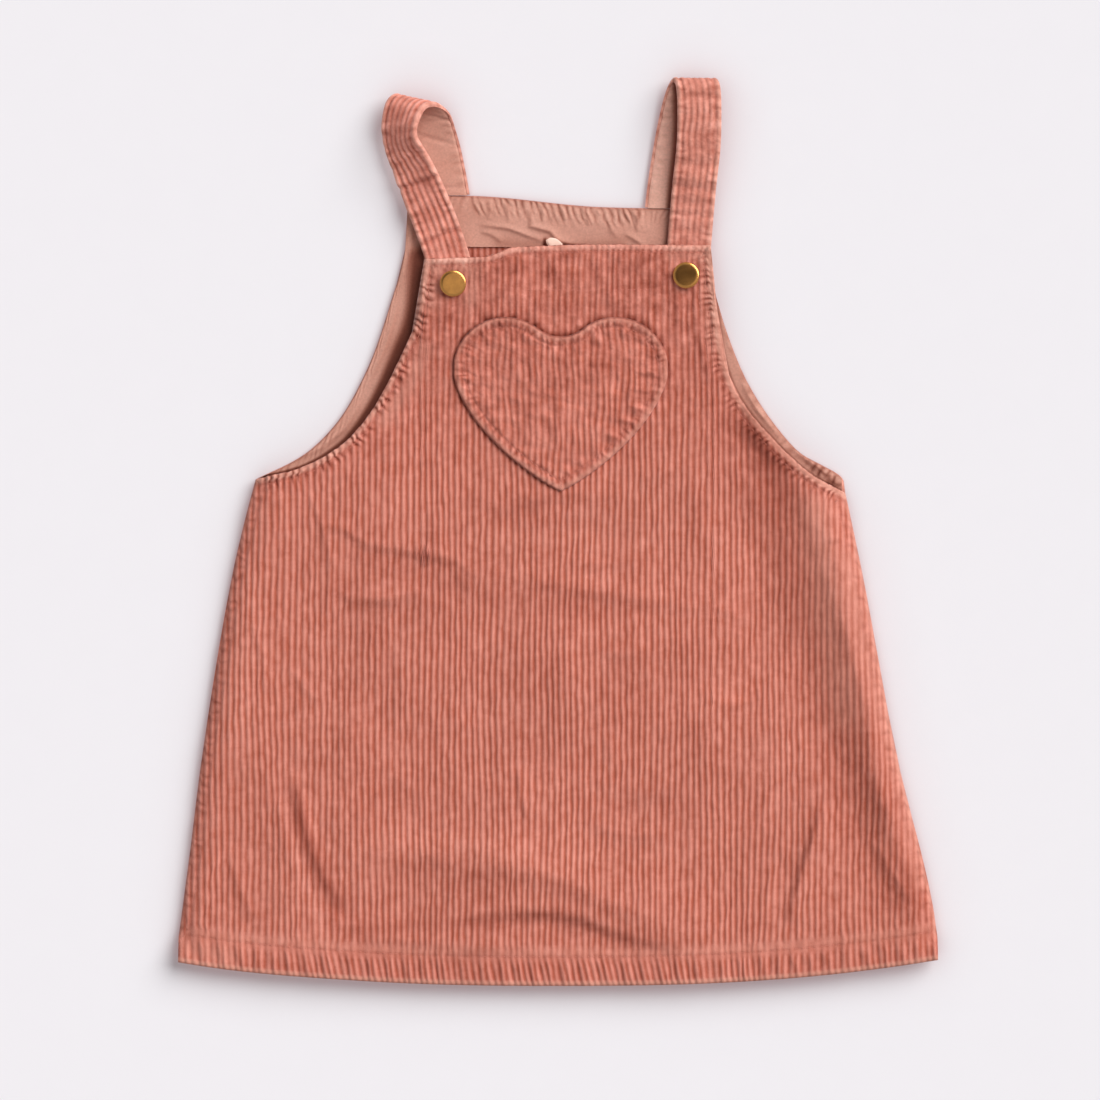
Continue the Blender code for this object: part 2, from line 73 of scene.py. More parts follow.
HEM_DEPTH = 0.0150
HEM_STEP = 0.0015
HEM_BULK = 0.0004
BACK_HEM_SHORT = 0.0015
HEM_SIDE_Y = -0.2140
HEM_MIDDLE_DROP = 0.0130
HEM_BOW = 2.5
HEM_LEFT_DROP = 0.0012      # how much lower the hem lies at its left end

STRAP_WIDTH = 0.0220
STRAP_WALES = 7
BIB_HEIGHT = 0.0075
SKIRT_HEIGHT = 0.0080
BIB_Y = 0.070
SKIRT_Y = -0.010
SIDE_ROUND = 0.014
SIDE_FULLNESS = 0.8
UNDERARM_FACING_Y = (-0.010, 0.012)

CAP_RADIUS = 0.0066
CAP_HEIGHT = 0.0016
CAP_SEGMENTS = 72
# A cap's section, from its underside to its top: how far in from its rim, and how high.
CAP_PROFILE = (
    (CAP_RADIUS, 0.0), (0.0005, 0.0), (0.0001, 0.00015), (0.0, 0.0005),
    (0.0, CAP_HEIGHT - 0.0006), (0.00008, CAP_HEIGHT - 0.00038),
    (0.00030, CAP_HEIGHT - 0.00022), (0.00070, CAP_HEIGHT - 0.00012),
    (0.0012, CAP_HEIGHT - 0.00003), (0.0017, CAP_HEIGHT),
    (CAP_RADIUS * 0.5, CAP_HEIGHT), (CAP_RADIUS, CAP_HEIGHT),
)
CAP_LEAN = {"left": (2.5, 3.0), "right": (-2.5, -3.0)}   # degrees round x and round y
LABEL_WIDTH = 0.0085
LABEL_LENGTH = 0.0160
LABEL_CORNER = (-0.0056, 0.1468)
LABEL_TURN = math.radians(-21)
LABEL_CURL = 0.0045         # how far its left side curls in below its corner
LABEL_CURL_FROM = (0.0, 0.0050)      # where along it the curl grows, and where it ends
LABEL_CURL_TO = (0.0060, 0.0100)
LABEL_HALF = 0.0005         # half its thickness
LABEL_EDGE = 0.0006         # how far its edges are rounded

# ------------------------ sewn edges, left to right
LEFT_SIDE = (
    (-0.1897, -0.2015), (-0.1875, -0.1868), (-0.1780, -0.1118),
    (-0.1630, -0.0218), (-0.1560, 0.0083), (-0.1512, 0.0262),
)
LEFT_ARMHOLE = (
    LEFT_SIDE[-1], (-0.1289, 0.0316), (-0.1082, 0.0431), (-0.0936, 0.0595),
    (-0.0764, 0.0922), (-0.0699, 0.1086), (-0.0669, 0.1361),
)
FRONT_NECK = (
    LEFT_ARMHOLE[-1], (-0.0361, 0.1373), (-0.0208, 0.1420), (0.0250, 0.1433), (0.0763, 0.1429),
)
RIGHT_ARMHOLE = (
    FRONT_NECK[-1], (0.0809, 0.0990), (0.0832, 0.0860), (0.0888, 0.0703),
    (0.1073, 0.0463), (0.1276, 0.0278), (0.1438, 0.0192),
)
RIGHT_SIDE = (
    RIGHT_ARMHOLE[-1], (0.1525, -0.0218), (0.1695, -0.1118),
    (0.1875, -0.1868), (0.1897, -0.2015),
)
BACK_LEFT_ARMHOLE = (
    LEFT_SIDE[-1], (-0.1280, 0.0379), (-0.1108, 0.0543), (-0.0944, 0.0836),
    (-0.0832, 0.1163), (-0.0764, 0.1422), (-0.0750, 0.1683),
)
BACK_NECK = (
    BACK_LEFT_ARMHOLE[-1], (-0.0440, 0.1680), (0.0210, 0.1624), (0.0440, 0.1618),
    (0.0730, 0.1615),
)
BACK_RIGHT_ARMHOLE = (
    BACK_NECK[-1], (0.0780, 0.1230), (0.0832, 0.1036), (0.0952, 0.0740),
    (0.1128, 0.0481), (0.1219, 0.0388), (0.1330, 0.0327), (0.1410, 0.0280), (0.1434, 0.0245),
    RIGHT_ARMHOLE[-1],
)
FACING_LOWER = (
    (-0.1495, 0.0120), (-0.1180, 0.0190), (-0.0860, 0.0480), (-0.0640, 0.1000),
    (-0.0540, 0.1400), (-0.0440, 0.1424), (0.0440, 0.1412), (0.0540, 0.1360),
    (0.0610, 0.0960), (0.0780, 0.0560), (0.1120, 0.0190), (0.1420, 0.0060),
)
FRONT_EDGES = (LEFT_SIDE, LEFT_ARMHOLE, FRONT_NECK, RIGHT_ARMHOLE, RIGHT_SIDE)
BACK_EDGES = (LEFT_SIDE, BACK_LEFT_ARMHOLE, BACK_NECK, BACK_RIGHT_ARMHOLE, RIGHT_SIDE)

HEART_MIDDLE = (0.0013, 0.0808)
HEART_LOBE_OFFSET = 0.0275
HEART_LOBE_RADIUS = 0.0262
HEART_CLEFT_HALF = 0.0100
HEART_CLEFT_DROP = 0.0030
HEART_POINT_Y = 0.0202
HEART_REACH = HEART_LOBE_OFFSET + HEART_LOBE_RADIUS - SEAM_GAP    # half of its width
HEART_SIDE_START = 1.15
HEART_SIDE_END = 0.60

# Straight folds: place of the middle, direction in degrees, half length and width, and rise.
Fold = namedtuple("Fold", "x y angle half_length half_width rise")
FRONT_FOLDS = (
    Fold(-0.1190, -0.1590, -68, 0.042, 0.0090, -0.0014),
    Fold(-0.1420, -0.1450, -78, 0.080, 0.0110, 0.0012),
    Fold(0.1360, -0.0120, -76, 0.075, 0.0110, 0.0026),
    Fold(0.1600, -0.1150, -76, 0.080, 0.0090, 0.0022),
    Fold(0.0985, -0.0110, -74, 0.064, 0.0135, -0.0018),
    Fold(0.1420, -0.1250, -72, 0.075, 0.0110, -0.0018),
    Fold(0.0160, -0.1760, -18, 0.070, 0.0140, 0.0014),
    Fold(0.0120, -0.2010, -12, 0.060, 0.0090, -0.0012),
    Fold(0.1330, -0.1560, 68, 0.040, 0.0080, 0.0012),
    Fold(0.1000, 0.0330, -58, 0.032, 0.0080, -0.0009),
)

# ------------------------ creases and bands
def metres(*millimetres):
    """Lengths in metres, from millimetres."""
    return tuple(round(length / 1000, 7) for length in millimetres)


# A crease is a low ridge along a line of points, which fades at both ends. Seen along the line,
# it is steep on its right and gentle on its left.
Crease = namedtuple("Crease", "rise steep gentle points")


def creases_of(*rows):
    """Creases, from rows in millimetres."""
    return tuple(Crease(*metres(rise, steep, gentle), tuple(metres(*point) for point in points))
                 for rise, steep, gentle, *points in rows)


FRONT_CREASES = creases_of(
    (2.13, 3.8, 5, (-132.5, -120.2), (-129, -134.3), (-126.5, -146.7), (-122.5, -159.3),
     (-116.5, -172.2), (-109, -186.7)),
    (0.68, 4, 6, (-145, -116.8), (-140.5, -134.3), (-135, -156.8), (-130, -174.2)),
    (0.94, 3, 5, (-163, -159.3), (-159, -176.7), (-153, -190.3), (-147, -199.3)),
    (0.77, 1.5, 2.5, (-125.5, 21.7), (-119, 7.3), (-113, -15.8), (-115, -40.8)),
    (1.7, 1.3, 6, (-99, -6.7), (-79, -9.2), (-51.5, -14.3), (-37, -26.2)),
    (1.02, 1.3, 4, (-120, 3.7), (-106.5, 0.8), (-93, -8.3)),
    (1.02, 1.3, 4, (-114, -29.3), (-103, -33.3), (-84, -34.3), (-69, -29.3)),
    (0.85, 1.3, 4, (71, -36.2), (81, -40.3), (90, -40.3)),
    (0.85, 1.3, 3, (-53, -17.3), (-48, -24.3), (-42, -29.3)),
    (0.77, 1.3, 3, (1, -14.3), (21, -17.3), (41, -14.3)),
    (0.68, 1.3, 3, (-154, -44.2), (-148, -59.2), (-145, -79.3)),
    (0.85, 1.3, 3, (16, -59.2), (31, -61.7), (46, -58.3)),
    (0.77, 1.3, 3, (71, -84.3), (86, -87.2), (99, -84.3)),
    (0.68, 1.3, 3, (-69, -159.3), (-59, -165.3), (-44, -167.3)),
    (0.68, 1.3, 3, (-37, -31.2), (-31, -24.3), (-26, -19.2)),
    (1.02, 3, 8, (-26.5, -21.7), (6, -27.8), (39.5, -32.8), (77, -39.8)),
    (0.51, 3, 6, (-105.5, -36.2), (-74, -32.3), (-54, -37.2)),
    (0.85, 2, 4, (-29, 21.3), (-10.5, 16.3), (2, 18.7), (31, 17.7)),
    (0.68, 2, 4, (41, 25.7), (53.5, 29.7), (66, 33.8)),
    (1.11, 1.3, 6, (-19.5, -119.2), (-18, -134.3), (-15, -144.2)),
    (0.59, 1.2, 4, (-135.5, -66.8), (-126.5, -78.3), (-118, -87.2)),
    (0.59, 1.2, 4, (-54, -96.8), (-46.5, -97.3), (-39, -99.8)),
    (0.51, 1.5, 5, (23.5, -99.3), (25.5, -109.2), (28, -120.2)),
    (0.85, 2, 6, (10, -143.7), (33.5, -151.7), (57, -151.7)),
    (1.87, 2.6, 8, (-54, -192.3), (-30, -189.8), (-4, -189.3), (13.5, -192.8), (27, -198.3),
     (43.5, -204.2), (62, -206.2)),
    (0.77, 2.5, 5, (-103, -195.3), (-91.5, -202.3), (-69, -204.7), (-39, -208.2), (-9, -207.7)),
    (1.02, 6, 5, (-59, -174.2), (-40, -167.3), (-14, -168.3), (11, -176.7), (39.5, -190.8),
     (66, -203.2)),
    (1.19, 9, 9, (-104, -159.3), (-54, -158.3), (-9, -164.3)),
    (0.68, 4, 6, (-93, -114.3), (-79, -124.2), (-64, -134.3)),
    (2.04, 2, 8, (132.5, -137.3), (126.5, -156.8), (121, -174.2), (115, -195.3)),
    (0.68, 3, 4, (108.5, -166.8), (105, -181.7), (102, -195.3)),
    (0.58, 3.5, 5, (127, -3.2), (139.5, -38.2), (147, -61.7), (153.5, -83.8), (160, -109.2)),
    (0.82, 4, 4, (154, -110.3), (159, -129.3), (165, -140.3), (162, -155.2)),
    (1.11, 3, 4, (160, -155.2), (165, -167.3), (171, -176.2), (175, -184.2)),
    (1.53, 4.5, 5, (93.5, 58.3), (107, 40.8), (121, 29.7)),
    (0.85, 3, 4, (99, 75.7), (105, 60.7), (108, 50.8)),
    (1.02, 7, 7, (124, 25.7), (127, 8.3), (132, -11.8)),
    (0.59, 1.2, 4, (-37, 134.8), (-35.5, 128.8), (-33.5, 122.7)),
    (0.59, 1.2, 4, (-3, 135.8), (-1.5, 129.8), (0, 123.7)),
    (0.51, 1.2, 4, (20, 132.8), (21, 125.8), (23, 119.7)),
    (0.59, 1.2, 4, (40, 135.8), (42, 129.8), (43, 123.7)),
    (0.51, 1.2, 4, (-19, 137.8), (-20, 131.8), (-22, 125.8)),
    (0.77, 1.5, 4, (59.5, 119.7), (60.5, 111.8), (61, 102.7)),
    (0.85, 1.5, 4, (69.5, 115.8), (70.5, 100.8), (73.5, 84.8), (76.5, 73.7)),
    (0.68, 3, 5, (-81, 90.7), (-69, 94.8), (-56, 95.8)),
    (0.59, 2, 4, (-59, 116.8), (-48, 118.7), (-34, 113.8)),
    (0.51, 3, 5, (21, 116.8), (36, 113.8), (48.5, 107.7)),
    (0.59, 4, 5, (-29, 116.8), (-9, 114.8), (11, 116.8)),
    (0.59, 4, 5, (66, 25.7), (71, 5.7), (77, -14.3)),
    (0.59, 3, 6, (-64, 15.8), (-61, -4.3), (-56, -24.3)),
    (0.51, 5, 7, (1, -54.2), (4, -79.3), (1, -99.3)),
    (0.51, 6, 8, (41, -54.2), (46, -84.3), (45, -104.2)),
    (0.51, 5, 7, (71, -84.3), (74, -109.2), (71, -134.3)),
    (0.51, 5, 8, (-79, -54.2), (-77, -79.3), (-80, -99.3)),
    (0.51, 4, 6, (-169, -54.2), (-168, -79.3), (-171, -104.2)),
    (0.51, 4, 6, (-104, -84.3), (-103, -104.2), (-106, -124.2)),
    (0.59, 5, 7, (21, -124.2), (41, -130.3), (66, -129.3)),
    (0.68, 1, 2.5, (-136, 17.7), (-144, 16.3), (-151, 15.8)),
    (0.85, 1.2, 2.5, (132, -4.3), (139, -3.7), (145, -1.3)),
)
HEART_CREASES = creases_of(
    (0.85, 3.5, 4, (-13, 92.7), (-12, 68.3), (-14, 43.2)),
    (0.68, 1.5, 4, (-23, 94.8), (-22, 81.8), (-25, 69.8)),
    (0.59, 2, 5, (-1, 81.8), (1, 60.7), (-0.5, 40.8)),
    (0.51, 3, 4, (20, 87.7), (24, 65.8), (20, 46.7)),
    (0.51, 2, 4, (35, 84.8), (36, 67.8), (30, 52.7)),
    (0.51, 2, 4, (-38, 75.7), (-34, 59.7), (-26, 45.7)),
    (0.42, 1.5, 3.5, (9, 90.7), (11, 80.8), (9, 70.7)),
    (0.51, 1, 2.5, (41, 91.7), (37, 86.7), (32, 83.8)),
    (0.51, 1, 2.5, (-45, 80.8), (-40, 77.7), (-35, 77.7)),
    (0.51, 1, 2.5, (-41, 60.7), (-36, 61.7), (-31, 64.8)),
    (0.51, 1, 2.5, (-29, 42.8), (-25, 46.7), (-22, 51.7)),
    (0.51, 1, 2.5, (24, 44.7), (20, 49.8), (17, 54.8)),
    (0.51, 1, 2.5, (43, 66.8), (38, 67.8), (34, 69.8)),
    (0.77, 1, 2.5, (39, 79.8), (44, 78.8), (49, 77.7)),
    (0.85, 1, 2.5, (36, 71.7), (43, 69.8), (49, 69.3)),
    (0.85, 1, 2.5, (33, 63.8), (40, 61.7), (46, 60.7)),
    (0.77, 1, 2.5, (29, 56.8), (35, 54.8), (41, 53.2)),
    (0.68, 1, 2.5, (22, 49.8), (28, 47.3), (33, 45.2)),
    (0.51, 1, 2.5, (-50, 86.7), (-46, 85.3), (-42, 84.8)),
    (0.59, 1, 2.5, (-51, 77.7), (-47, 76.7), (-42, 76.2)),
    (0.51, 1, 2.5, (-49, 67.8), (-44, 67.3), (-39, 67.8)),
    (0.59, 1, 2.5, (-44, 58.7), (-39, 59.7), (-34, 61.2)),
    (0.51, 1, 2.5, (-36, 49.8), (-31, 51.7), (-27, 53.7)),
)
FACING_CREASES = creases_of(
    (0.85, 0.7, 2.5, (-40, 153.7), (-25, 151.7), (-15.5, 148.2), (-7, 145.2)),
    (1.02, 0.8, 3, (-13.5, 161.8), (-13.5, 152.7), (-4, 150.2), (-0.5, 146.2), (4.5, 144.2),
     (12, 142.7)),
    (0.59, 0.6, 2, (-26, 164.8), (-25, 160.3), (-25, 154.2)),
    (0.51, 0.6, 1.8, (-8, 163.8), (-7, 158.8), (-8, 155.2)),
    (0.51, 0.6, 1.8, (-3.5, 163.3), (-1.5, 158.3), (-3, 155.2)),
    (0.51, 0.6, 1.8, (1, 163.3), (3, 158.8), (4, 155.7)),
    (0.59, 0.6, 2, (12, 162.3), (15, 157.8), (15.5, 152.7)),
    (0.51, 0.6, 1.8, (19, 161.8), (21.5, 157.8)),
    (0.85, 0.7, 2.5, (37, 161.3), (40, 156.2), (39.5, 149.7)),
    (0.68, 0.7, 2.5, (33, 149.2), (37.5, 146.7), (44, 142.2)),
    (0.51, 0.6, 2, (31, 161.8), (34.5, 157.8), (36, 154.7)),
    (0.51, 0.8, 3, (26, 156.2), (26.5, 151.2), (30, 146.7)),
    (0.51, 0.7, 2, (-35, 165.8), (-34, 160.3), (-34.5, 155.7)),
    (0.68, 0.8, 3, (-39, 150.2), (-33, 148.7), (-28, 144.7)),
    (0.77, 1.2, 1.5, (-134, 34.8), (-118, 42.3), (-106.5, 51.7), (-98, 65.8)),
    (0.77, 1.2, 1.5, (-96, 71.7), (-86, 93.8), (-80, 114.8)),
    (0.77, 1.2, 1.5, (-79, 121.7), (-74, 141.7), (-73, 154.7)),
    (0.68, 1.2, 1.5, (92, 73.7), (99, 61.7), (111, 46.7)),
    (0.68, 1.2, 1.5, (116, 41.8), (127, 34.3), (137, 26.7)),
)

CREASE_SHADE = 95.0         # painted shade on a crease's foot and light on its top, per metre of rise

# A band is soft, and lies along a line of points: how strong it is, and how wide.
Band = namedtuple("Band", "amount half_width points")


def bands_of(*rows):
    """Bands, from rows of an amount and millimetres."""
    return tuple(Band(amount, *metres(half_width), tuple(metres(*point) for point in points))
                 for amount, half_width, *points in rows)


# Painted shade below 0, and painted light above 0, in soft bands along the front's folds,
# creases and edges.
FRONT_PAINTED_SHADE_AND_LIGHT = bands_of(
    (-0.17, 15, (98, 53), (108, 31), (110.5, 6), (120.5, -34), (134.5, -74), (147.5, -114),
     (157.5, -149), (166, -179)),
    (-0.12, 7, (93, 56), (104, 36), (111, 20)),
    (0.09, 8, (-152, -24.3), (-155, -64.3), (-159, -104.2)),
    (0.08, 14, (-100, -159.8), (-50, -158.8), (0, -167.8)),
    (0.26, 1.6, (-64, 135), (-36.1, 136.1), (-20.8, 140.7), (25, 142), (74, 141.6)),
    (-0.14, 6, (174.5, -170), (179, -196)),
    (-0.1, 4, (-51.5, 129.8), (-44, 127.8), (-37, 130.8)),
    (-0.16, 3, (-28, 132.3), (-21, 130.3)),
    (-0.16, 3.5, (-9, 132.3), (-1, 129.3)),
    (-0.12, 2.5, (19, 132.8), (19.5, 126.8)),
    (-0.12, 2.5, (28, 130.3), (34, 128.8)),
    (-0.14, 3, (41.5, 134.8), (42.5, 127.8)),
    (-0.12, 2.2, (52, 136.8), (53, 122.7)),
    (-0.1, 1.8, (58, 119.7), (59, 100.8)),
    (0.08, 2, (62.5, 100.8), (63, 87.7)),
    (-0.1, 2, (72.5, 89.7), (74, 73.7)),
    (-0.1, 2, (-64, 100.8), (-44, 112.8), (-29, 117.7)),
    (-0.1, 3, (-44, 15.8), (-29, 9.7), (-9, 12.7)),
    (0.08, 4, (-44, -4.3), (1, -1.8), (41, -6.7)),
    (-0.08, 4, (-99, -14.3), (-69, -20.3), (-39, -34.3), (1, -37.2), (41, -39.3)),
    (-0.3, 3.6, (-130.5, -129.3), (-127.5, -144.3), (-122, -159.3), (-115.5, -174.3),
     (-109, -186.8)),
    (0.16, 1.3, (-126, -129.3), (-124, -141.8), (-120.5, -153.3)),
    (0.1, 3, (-133, -155.2), (-123, -184.2), (-118, -202.3)),
    (-0.1, 3, (-109, -197.3), (-79, -198.3), (-35.5, -194.3), (1, -191.3), (23.5, -200.3),
     (51, -207.2)),
    (-0.08, 3, (129, -140.7), (121, -171.8), (114, -193.3)),
) + (Band(-0.20, 0.0011, LEFT_SIDE),)
# Where the pile is worn off.
FRONT_WORN = bands_of(
    (0.25, 5, (-184, -208), (-164, -212)),
    (0.3, 5, (-66, 132.5), (-48, 133)),
    (0.35, 3.8, (56, 139), (74, 139)),
    (0.3, 9, (127, 10), (133, -30), (143, -90)),
    (0.4, 5.5, (-64, 131.8), (-63, 122.8), (-64, 114.8)),
    (0.4, 4.5, (-48, 134.8), (-42, 129.8), (-44, 115.8)),
    (0.4, 4, (74, 134.8), (76, 115.8), (77.5, 95.8)),
    (0.35, 4, (-66.5, 90.7), (-75, 72.7), (-87, 55.8)),
    (0.22, 4.5, (145, -14.3), (153, -54.2), (163, -94.3), (173, -134.3), (180, -174.2)),
)
TOP_DARKER = -0.08         # the bib and the heart are a little darker than the skirt
BIB_MATTED = (0.030, 0.100)    # y where its ridges start to mat together, and where they have
# Patches that a hand leaves in the pile everywhere: their reach, and how strongly they show.
BRUSHED_PATCHES = ((0.030, 0.016), (0.014, 0.020), (0.007, 0.022), (0.0035, 0.020))
# Crumpling from wash and wear: its rise, what the bib adds to it, its reach across and along
# the ridges, and its seed.
CRINKLES = (
    (0.00030, 0.0, 0.030, 0.045, 23),
    (0.00008, 0.00012, 0.0110, 0.0070, 25),
    (0.00004, 0.00006, 0.0050, 0.0040, 26),
)
RIDGE_WAVES = (0.0085, 0.0160, 0.0310)     # lengths of the waves in each ridge's height
RIDGE_UNEVEN = 0.13         # and how high each of them is, as a share of the ridge's own
# how much lighter each strap's cloth is made
STRAP_LIGHTENED = {"left": 0.13, "right": 0.05}
STRAP_WORN = {"left": 0.05, "right": 0.22}
# painted light: how much lighter each lining is made, against the front strap's shade over it
LINING_PAINTED_LIGHT = {"left": 0.05, "right": 0.30}
LINING_PAINTED_SHADOW = {"left": 0.0, "right": 0.95}   # painted shadow of the front strap, right beside it
LINING_PAINTED_SHADOW_REACH = (0.0002, 0.0034)

# The facing has painted shadow where it goes in under the armholes' edges: y and how far out.
LEFT_SHADE = 0.72
LEFT_SHADE_REACH = ((0.030, 0.0014), (0.045, 0.0025), (0.060, 0.0042), (0.085, 0.0062),
                    (0.110, 0.0078), (0.160, 0.0090))
RIGHT_SHADE = 0.38
RIGHT_SHADE_REACH = ((0.020, 0.0012), (0.060, 0.0015), (0.110, 0.0018))
# Painted shade on the facing: under the right armhole, beside the label, beside the right strap and
# above the bib.
FACING_PAINTED_SHADE = bands_of(
    (-0.55, 1.6, (135.5, 25.3), (139, 23.8)),
    (-0.35, 0.9, (129, 32.8), (133, 28.8), (136, 27.8)),
    (-0.25, 0.8, (124, 34.8), (128.5, 30.7), (132, 25.7)),
    (-0.6, 1.5, (57.2, 162), (56, 151), (55, 141)),
    (-0.75, 0.9, (-6.6, 146.2), (-6.8, 143.4)),
    (-0.6, 1, (3.5, 143.4), (13, 142.8)),
    (-0.2, 3, (-29, 144.2), (1, 142.2), (31, 142.2)),
)

# Centre of each strap's inner face, from the back neckline over the top to behind the bib.
# yaw turns a strap's width in plan, and lift raises its right edge, both in degrees.
LEFT_STRAP = (
    (-0.0552, 0.1687, 0.0012, 0, 0), (-0.0572, 0.1790, 0.0012, 8, 0),
    (-0.0595, 0.1900, 0.0014, 8, 0), (-0.0622, 0.2002, 0.0030, 4, 3),
    (-0.0650, 0.2098, 0.0056, -6, 8), (-0.0706, 0.2151, 0.0096, -13, 12),
    (-0.0760, 0.2124, 0.0132, -8, 24), (-0.0790, 0.2030, 0.0140, 0, 36),
    (-0.0788, 0.1955, 0.0132, 6, 40), (-0.0752, 0.1870, 0.0118, 14, 32),
    (-0.0715, 0.1790, 0.0104, 18, 24), (-0.0668, 0.1680, 0.0088, 18, 14),
    (-0.0612, 0.1540, 0.0068, 18, 4), (-0.0572, 0.1430, 0.0055, 16, 0),
    (-0.0545, 0.1340, 0.0047, 14, 0), (-0.0525, 0.1238, 0.0042, 10, 0),
    (-0.0510, 0.1160, 0.0042, 10, 0),
)
RIGHT_STRAP = (
    (0.0545, 0.1622, 0.0012, 0, 0), (0.0560, 0.1740, 0.0012, -8, 0),
    (0.0580, 0.1870, 0.0014, -8, 0), (0.0605, 0.2010, 0.0022, -8, 0),
    (0.0638, 0.2155, 0.0036, -6, 0), (0.0672, 0.2246, 0.0064, -2, 0),
    (0.0696, 0.2237, 0.0098, 0, 0), (0.0705, 0.2135, 0.0118, 0, 0),
    (0.0702, 0.1930, 0.0110, -4, 0), (0.0682, 0.1740, 0.0088, -6, 0),
    (0.0667, 0.1570, 0.0062, -5, 0), (0.0657, 0.1450, 0.0053, -4, 0),
    (0.0648, 0.1360, 0.0047, -4, 0), (0.0640, 0.1278, 0.0042, -4, 0),
    (0.0634, 0.1190, 0.0042, -4, 0),
)
STRAP_STEPS = 12            # rings for each station
STRAP_COLUMNS = 45          # lines of points along a strap, inside those of its edges
STRAP_INNER_EDGE = 0.0017   # how far those stay from the edge
STRAP_PUCKER = 0.0052
STRAP_DIP = 0.00040         # how deep the stitches along its edges pull in
STRAP_PUFF = 0.00030        # how far its rolled edges puff up
STRAP_CRUMPLE = 0.00010
STRAP_WANDER = 0.11         # how far its ridges wander sideways, in ridges
STRAP_KINK = 0.35           # and how far they step where the cloth bends over
LINING_COLUMNS = 27
LINING_PUCKER = 0.0050
STRAP_RIDGES_IN = (0.10, 0.30)         # shares of its length where the ridges come and go
STRAP_RIDGES_OUT = (0.81, 0.87)
STRAP_RIM = 0.0019          # smooth rolled edge
STRAP_RIDGES = {"left": 0.58, "right": 0.52}   # how strongly the worn ridges stand
STRAP_CREASE_SHADE = 115.0  # painted shade in its creases, for each metre of their depth
STRAP_LINING_TAIL = 0.0005  # how far the lining reaches on to meet the facing
STRAP_TURN_UNDER = 0.0013   # the corduroy's turned edge, which shows beside the lining

# Creases across a strap: y of the middle on its front run, lean, width and rise.
CrossCrease = namedtuple("CrossCrease", "y lean width rise")


def cross_creases_of(*rows):
    """Cross creases, from rows in millimetres. The lean is a slope."""
    return tuple(CrossCrease(*metres(y), lean, *metres(width, rise))
                 for y, lean, width, rise in rows)


LEFT_STRAP_CREASES = cross_creases_of(
    (174.2, 0, 1.3, -1.5),
    (177, 0.02, 2.2, 0.6),
    (186, -0.25, 1.5, -0.6),
    (190, 0.35, 1.2, -0.4),
    (147.5, -0.12, 1.3, -1.2),
    (150.5, -0.1, 2.2, 0.5),
    (164, 0.1, 4, 0.5),
    (160, -0.2, 1.3, -0.5),
    (199, -0.1, 2.2, -0.5),
    (140, 0.05, 1.6, -0.7),
)
RIGHT_STRAP_CREASES = cross_creases_of(
    (217, 0, 1.8, -0.6),
    (208, 0.05, 1.6, -0.4),
    (198.5, 0.04, 2.2, -0.5),
    (191.5, -0.05, 1.6, -0.4),
    (183, -0.03, 1.8, -0.8),
    (171.5, 0.05, 1.6, -0.9),
    (164, -0.06, 1.6, -0.4),
    (158, -0.03, 1.6, -0.6),
    (150, 0.03, 1.6, -0.5),
    (145, 0.02, 1.4, -0.6),
    (177, 0, 3, 0.5),
)
# Creases in a strap's lining: y of the middle on its back run, lean, width and rise.
LEFT_LINING_CREASES = cross_creases_of(
    (208.5, -0.25, 1.2, -0.5),
    (205.5, 0.1, 1, -0.4),
    (196, -0.45, 1.4, -0.5),
    (183, 0.1, 1.2, -0.3),
    (172, 0.02, 0.9, -0.5),
)
RIGHT_LINING_CREASES = cross_creases_of(
    (199, 0, 1.2, -0.4),
    (185, 0.1, 1.4, -0.3),
    (209, 0.3, 1.4, -0.4),
)

# ------------------------ sewing
# A rim runs along a sewn edge: its smooth roll, its row of stitches, how deep that pulls in,
# how far the roll puffs up, the spacing of its puckers, how hard they pull, how much of them is
# on the roll itself and how far in they reach, how much the ridges show on the roll, how worn
# it is, and the seed of its puckers.
Rim = namedtuple("Rim", "edge roll row dip puff spacing pull beaded reach ridges worn seed")
FRONT_RIMS = (
    Rim(LEFT_SIDE, 0.0014, 0.0050, 0.0002, 0.0003, 0.0052, 0.45, 1.0, 0.0070, 0.70, 0.25, 11),
    Rim(LEFT_ARMHOLE, 0.0022, 0.0038, 0.0004, 0.0008, 0.0038, 1.00, 1.0, 0.0085, 0.55, 0.70, 12),
    Rim(FRONT_NECK, 0.0022, 0.0036, 0.0003, 0.0005, 0.0031, 0.34, 0.8, 0.0070, 0.55, 0.42, 13),
    Rim(RIGHT_ARMHOLE, 0.0024, 0.0044, 0.0002, 0.0005, 0.0034, 0.90, 0.2, 0.0090, 0.25, 0.75, 14),
    Rim(RIGHT_SIDE, 0.0016, 0.0050, 0.0002, 0.0003, 0.0062, 0.30, 0.6, 0.0070, 0.75, 0.35, 15),
)
# Shade acts on red, green and blue with these powers, as pink cotton gets redder in its depths.
SHADE_DEPTHS = (1.0, 1.45, 1.6)
PUCKER_SHADE = 0.50         # painted shade in the puckers' valleys, and painted light on their crests
PUCKER_LIGHT = 0.20
ROW_SHADE = 0.20            # how dark the rows of stitches along the rims are
FAR = 0.1                   # distance that stands for no edge near
RAGGED = 0.00050            # how far puckers push an edge in and out
STITCH_DENT = 0.0008        # half width of the dent along a row of stitches
DENT_CLOSED = 0.6           # how much of a dent the top of a pucker fills
EDGE_ROUND = 0.0010         # how far a folded edge rounds down
HEM_ROW = 0.0146
HEM_PUCKER = 0.0066
HEM_DIP = 0.00045
HEM_SHADE = 0.05            # how much darker the hem's band is
HEM_EDGE_SHADE = 0.24       # and its very edge
HEM_ROW_SHADE = 0.12        # and the row of stitches, which has a paler swell above it
HEM_ROW_LIGHT = 0.06
HEM_WAVE = 0.00050          # the folded band's own ripples
HEM_WAVE_MIDDLE = 0.0065    # how far above the edge they are highest, and their half width
